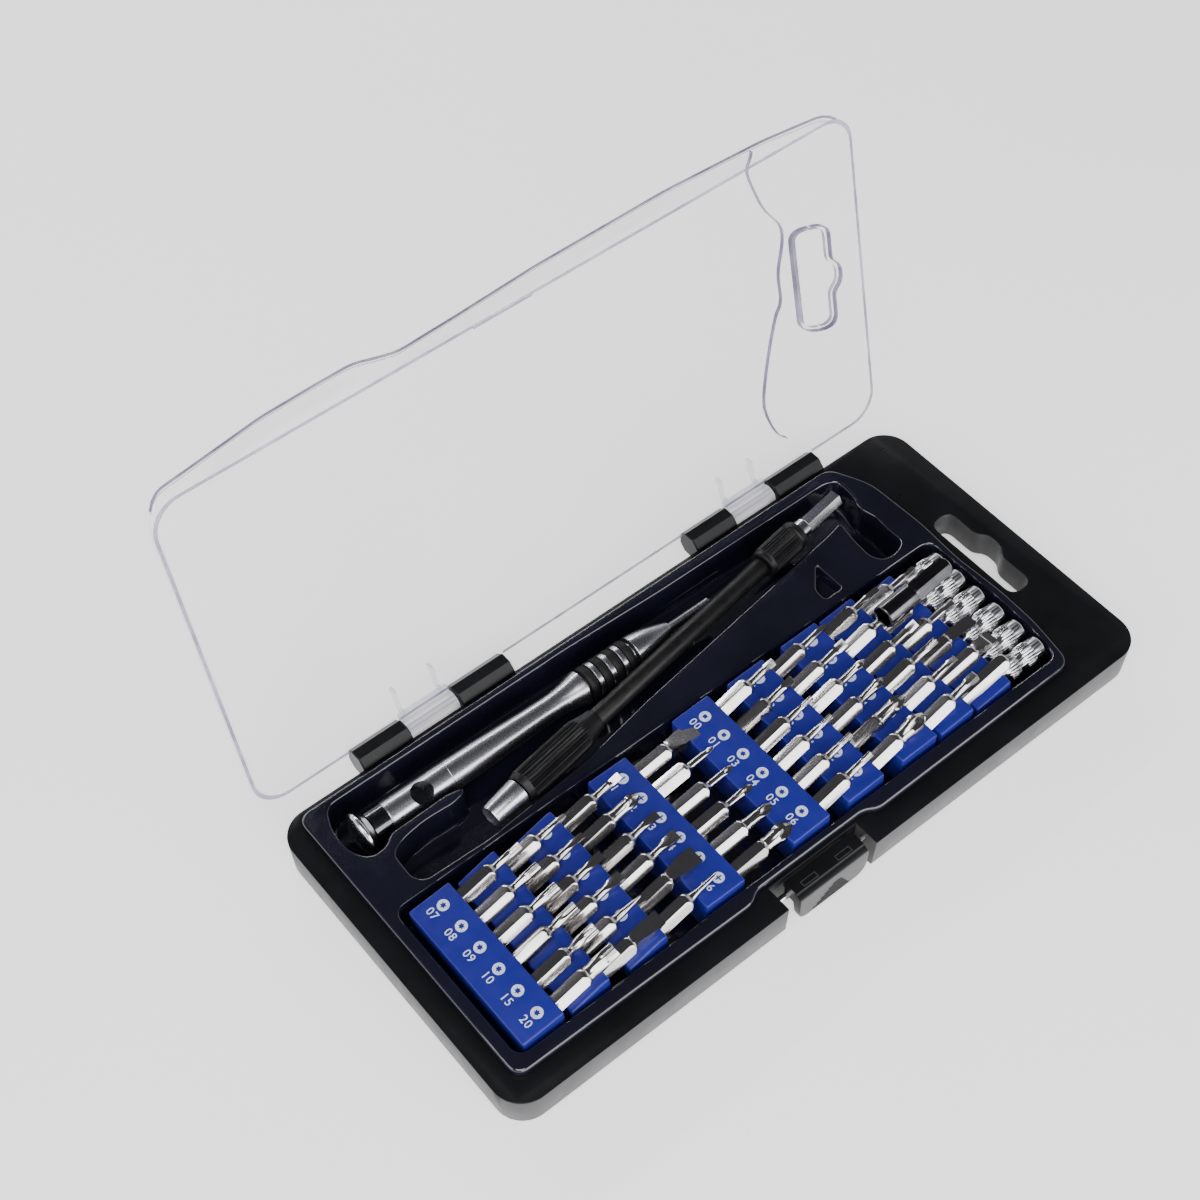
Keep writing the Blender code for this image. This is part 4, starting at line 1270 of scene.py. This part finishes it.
def bit_roll(number, index):
    """How far a bit has turned in its hole. Each stands a little differently."""
    wander = ROLL_WANDER * math.sin(2.3 * number + 1.7 * index)
    loose = (number * 5 + index * 3) % 7 == 0
    rest = LEFT_ROLL if number < 4 else RIGHT_ROLL
    return math.radians(rest + wander + (LOOSE_ROLL if loose else 0.0))


def make_bit(number, index, holder, look):
    kind, size = ROWS[number][index]
    depth = holder.depth - 0.1
    if kind == "shank":
        stations = hex_bar(-depth, SHANK_END)
    else:
        shoulder = LONG_SHOULDER if (number, index) == LONG_BIT else BIT_SHOULDER
        stations = hex_bar(-depth, shoulder) + tip(kind, size, shoulder)
    place = bit_place(holder, index) @ Matrix.Rotation(bit_roll(number, index), 4, "X")
    replaces = (f"bit_{number}_{index + 1}",) if number in CAD_ROWS else ()
    make(f"row_{number}_bit_{index + 1}", stack(stations), look, "root", replaces,
         place=place, sharp=24.0)


def make_nut_socket(index, holder, look):
    """A nut driver with two knurled bands and a hexagonal mouth."""
    knurl = ribbed(3.0, 24, 0.3)
    mouth = hexagon(1.45 + 0.15 * index)
    stations = [
        (-holder.depth + 0.1, HEXAGON), (1.6, HEXAGON), (2.0, circle(2.6)), (2.5, circle(2.75)),
        (2.7, knurl), (5.4, knurl), (5.6, circle(2.72)), (7.6, circle(2.72)),
        (7.8, knurl), (10.4, knurl), (10.6, circle(2.8)), (13.0, circle(2.8)), (13.4, circle(2.55)),
        (13.4, mixed(mouth, circle(2.4), 0.25)), (13.0, mouth), (9.6, mouth),
    ]
    make(f"nut_driver_{index + 1}", stack(stations, 240), look, "root", (f"nut_socket_{index + 1}",),
         place=bit_place(holder, index), sharp=60.0)


# ---------------------------------------------------------------- driver, extension, adapter

def make_driver(looks):
    place = Matrix.Translation(DRIVER_AXIS)
    profile = [(-75.9, 0.0), (-75.9, 3.9), (-71.6, 3.9), (-71.4, 3.62), (-71.2, 3.75), (-54.9, 3.75),
               (-54.8, 3.66), (-54.7, 3.75), (-46.0, 3.62), (-40.0, 3.42), (-32.0, 3.12), (-27.0, 3.02),
               (-24.0, 3.08), (-21.0, 3.42), (-19.0, 3.85), (-17.4, 4.22), (-16.7, 4.3), (-16.6, 4.2),
               (-16.6, 3.02)]
    for x in (-12.85, -9.15, -5.5):
        profile += [(x - 0.65, 3.02), (x - 0.65, 4.1), (x - 0.5, 4.22), (x + 0.5, 4.22),
                    (x + 0.65, 4.1), (x + 0.65, 3.02)]
    profile += [(-1.9, 3.02), (-1.9, 0.0)]
    across = Matrix.Rotation(math.radians(25), 4, "X") @ Matrix.Rotation(math.pi / 2, 4, "Y")
    hole = moved(rod((-8.0, 8.0), 2.7, count=40), Matrix.Translation((-62.5, 0, 0)) @ across)
    bm = carved(turned(profile, 80), [("DIFFERENCE", hole)])
    for face in bm.faces:
        face.material_index = int(face.calc_center_median().x < DRIVER_NECK_X)
    make("barrel", bm, (looks["satin"], looks["dark"]), "driver", ("driver_barrel",),
         place=place, sharp=30.0)
    for number, x in enumerate((-14.8, -10.9, -7.4, -3.6), 1):
        ring = [(x - 1.14, 3.05), (x - 1.14, 3.7), (x - 0.95, 4.05), (x - 0.5, 4.27), (x, 4.32),
                (x + 0.5, 4.27), (x + 0.95, 4.05), (x + 1.14, 3.7), (x + 1.14, 3.05)]
        make(f"o_ring_{number}", turned(ring, 72), looks["rubber"], "driver",
             (f"driver_o_ring_{number}",), place=place)
    nose = [(-1.6, 0.0), (-1.6, 4.15), (-1.4, 4.2), (0.0, 4.12), (1.5, 3.92), (3.0, 3.66), (4.5, 3.3),
            (6.0, 2.88), (7.5, 2.42), (8.8, 2.02), (9.6, 1.8), (9.7, 1.6), (9.7, 1.15),
            (21.9, 1.15), (22.4, 0.7), (22.4, 0.0)]
    make("nose", turned(fillet(nose, 0.05), 64), looks["satin"], "driver", ("driver_nose",),
         place=place, sharp=38.0)
    cap = [(-79.9, 0.0), (-79.85, 1.6), (-79.65, 3.0), (-79.3, 4.2), (-78.85, 5.05), (-78.45, 5.4),
           (-78.0, 5.4), (-77.7, 5.1), (-77.4, 4.75), (-76.9, 4.35), (-76.2, 4.05), (-76.2, 0.0)]
    make("swivel_cap", turned(fillet(cap, 0.04), 80), looks["chrome"], "driver_cap",
         ("driver_swivel_cap",), place=place, sharp=38.0)


def make_extension(looks):
    place = Matrix.Translation(EXTENSION_START) @ Matrix.Rotation(EXTENSION_YAW, 4, "Z")

    def add(name, node, bm, look, slot, sharp=32.0):
        make(name, bm, looks[look], "extension", (f"extension_{node}",), sharp=sharp, place=place)

    ribs = EXTENSION_RIBS
    add("extension_tip", "socket", stack([
        (8.9, circle(0.01)), (8.9, circle(3.2)), (8.75, circle(3.35)), (0.35, circle(2.78)),
        (0.0, circle(2.6)), (0.0, mixed(HEXAGON, circle(2.5), 0.2)), (0.4, HEXAGON), (6.5, HEXAGON),
    ], 72), "satin", "satin_steel")
    add("extension_ribbed_grip", "grip", stack([
        (9.2, circle(0.01)), (9.2, circle(3.35)), (9.5, circle(3.6)), (10.4, circle(3.75)),
        (10.8, ribbed(4.0, ribs, 0.05)), (11.4, ribbed(4.0, ribs, 0.4)),
        (20.0, ribbed(3.97, ribs, 0.4)), (28.4, ribbed(3.9, ribs, 0.4)),
        (29.2, ribbed(3.8, ribs, 0.05)), (30.6, circle(3.45)), (32.4, circle(3.05)),
        (34.0, circle(2.8)), (34.0, circle(0.01)),
    ], 144), "grip", "grip_plastic")
    shaft = [(34.3, 0.0), (34.3, 2.38), (93.0, 2.38), (93.0, 0.0)]
    add("extension_rod", "shaft", turned(fillet(shaft, 0.12), 48), "grip", "grip_plastic", 38.0)
    add("extension_lock_collar", "collar", stack([
        (93.3, circle(0.01)), (93.3, circle(3.2)), (93.6, circle(3.5)), (94.4, circle(3.6)),
        (94.7, ribbed(3.8, ribs, 0.04)), (95.2, ribbed(3.8, ribs, 0.34)),
        (103.2, ribbed(3.8, ribs, 0.34)), (103.8, ribbed(3.8, ribs, 0.04)),
        (104.2, circle(3.5)), (104.6, circle(3.78)), (105.8, circle(3.78)),
        (106.2, circle(3.6)), (106.4, circle(3.3)), (106.4, circle(0.01)),
    ], 144), "grip", "grip_plastic")
    add("extension_drive", "hex_drive", stack([
        (106.7, circle(2.3)), (106.9, circle(2.45)), (109.0, circle(2.45)), (109.2, circle(2.35)),
        (109.3, HEXAGON), (121.1, HEXAGON), (121.5, mixed(HEXAGON, circle(0.01), 0.2)),
    ]), "chrome", "chrome", 24.0)


def make_adapter(look):
    place = Matrix.Translation(ADAPTER_START) @ Matrix.Rotation(ADAPTER_YAW, 4, "Z")
    mouth = hexagon(2.03)
    barrel = stack([
        (9.4, circle(0.01)), (9.4, circle(2.8)), (9.2, circle(2.98)), (0.5, circle(2.98)),
        (0.15, circle(2.9)), (0.0, circle(2.7)), (0.0, mixed(mouth, circle(2.5), 0.3)), (0.4, mouth),
        (6.0, mouth)], 72)
    make("adapter_barrel", barrel, look, "adapter", ("adapter_body",), place=place)
    make("adapter_shank", stack(hex_bar(9.7, 21.9, 2.3)), look, "adapter", ("adapter_hex",),
         place=place, sharp=24.0)


# ---------------------------------------------------------------- camera, light, floor

def make_camera():
    data = bpy.data.cameras.new("camera")
    data.lens = CAMERA_LENS
    data.sensor_width = SENSOR_WIDTH
    data.clip_start = 0.01
    camera = put("camera", data)
    turn = Matrix.Rotation(CAMERA_AZIMUTH, 4, "Z") @ Matrix.Rotation(math.pi / 2 - CAMERA_ELEVATION, 4, "X")
    camera.matrix_world = (
        Matrix.Translation(CAMERA_PLACE) @ turn @ Matrix.Rotation(CAMERA_ROLL, 4, "Z"))
    bpy.context.scene.camera = camera


def area_light(name, place, size, power):
    """A white softbox that points at the middle of the case."""
    data = bpy.data.lights.new(name, "AREA")
    data.shape = "RECTANGLE"
    data.size = size[0]
    data.size_y = size[1]
    data.energy = power
    light = put(name, data)
    light.visible_camera = False
    turn = Vector(place).to_track_quat("Z", "Y").to_matrix().to_4x4()
    light.matrix_world = Matrix.Translation(place) @ turn


# The sky's colour at three heights, from the horizon up
SKY = ((0.05, (1.0, 1.0, 1.0)), (0.35, (0.42, 0.42, 0.45)), (0.62, (0.05, 0.05, 0.055)))


def make_world():
    """Bright near the horizon, darker overhead, so level black faces stay black."""
    world = bpy.data.worlds.new("studio")
    bpy.context.scene.world = world
    world.use_nodes = True
    tree = world.node_tree
    background = tree.nodes["Background"]
    place = tree.nodes.new("ShaderNodeTexCoord")
    split = tree.nodes.new("ShaderNodeSeparateXYZ")
    ramp = tree.nodes.new("ShaderNodeValToRGB")
    ramp.color_ramp.elements.new(0.5)
    for element, (height, colour) in zip(ramp.color_ramp.elements, SKY):
        element.position = height
        element.color = (*colour, 1.0)
    tree.links.new(place.outputs["Generated"], split.inputs["Vector"])
    tree.links.new(split.outputs["Z"], ramp.inputs["Fac"])
    tree.links.new(ramp.outputs["Color"], background.inputs["Color"])
    background.inputs["Strength"].default_value = 1.2


def make_stage():
    bm = bmesh.new()
    bmesh.ops.create_grid(bm, x_segments=8, y_segments=8, size=1.6)
    floor = put("floor", mesh_of("floor", bm))
    floor.data.materials.append(floor_paint())
    floor.location.z = -0.0003
    area_light("front", (0.05, -0.95, 0.36), (1.3, 0.62), 12.0)
    area_light("top", (-0.45, -0.45, 0.85), (0.7, 0.7), 9.0)
    area_light("side", (-0.95, 0.10, 0.40), (0.4, 0.4), 2.0)
    area_light("rim", (0.05, 0.95, 0.50), (1.3, 0.05), 5.0)


# ---------------------------------------------------------------- build

def main():
    make_camera()
    make_world()
    make_stage()
    black = black_plastic()
    blue = blue_plastic()
    paint = label_paint()
    looks = {
        "satin": metal("satin_turned_steel", (0.57, 0.57, 0.61), 0.27, 0.1, 0.06),
        "steel": metal("nickel_bit_steel", (0.62, 0.60, 0.59), 0.16, 0.12, 0.12),
        "chrome": metal("bright_chrome", (0.80, 0.80, 0.82), 0.18, 0.1, 0.08),
        "dark": metal("dark_adapter_metal", (0.14, 0.14, 0.15), 0.18, 0.2, 0.3),
        "grip": grip_plastic(),
        "rubber": rubber(),
    }
    for name in ("hinge_pin_left", "hinge_pin_right", "latch_pin"):
        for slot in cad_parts[name].material_slots:
            slot.material = looks["steel"]
    # The paler look is painted reflection on the upright walls and the latch's front, and painted highlight
    # on the latch's frames.
    walls = paler_wall_reflection_plastic()
    make_base(black, walls)
    make_knuckles(black)
    make_tray(tray_plastic())
    make_latch(black, walls, looks["rubber"])
    make_lid(clear_plastic(), clear_edge_painted_reflection(), clear_block())
    previous = None
    for number, holder in enumerate(HOLDERS, 1):
        make_holder(number, holder, previous, blue)
        make_labels(number, holder, paint)
        for index in range(BITS_PER_ROW):
            if number in ROWS:
                make_bit(number, index, holder, looks["steel"])
            else:
                make_nut_socket(index, holder, looks["chrome"])
        previous = holder
    make_driver(looks)
    make_extension(looks)
    make_adapter(looks["dark"])


main()
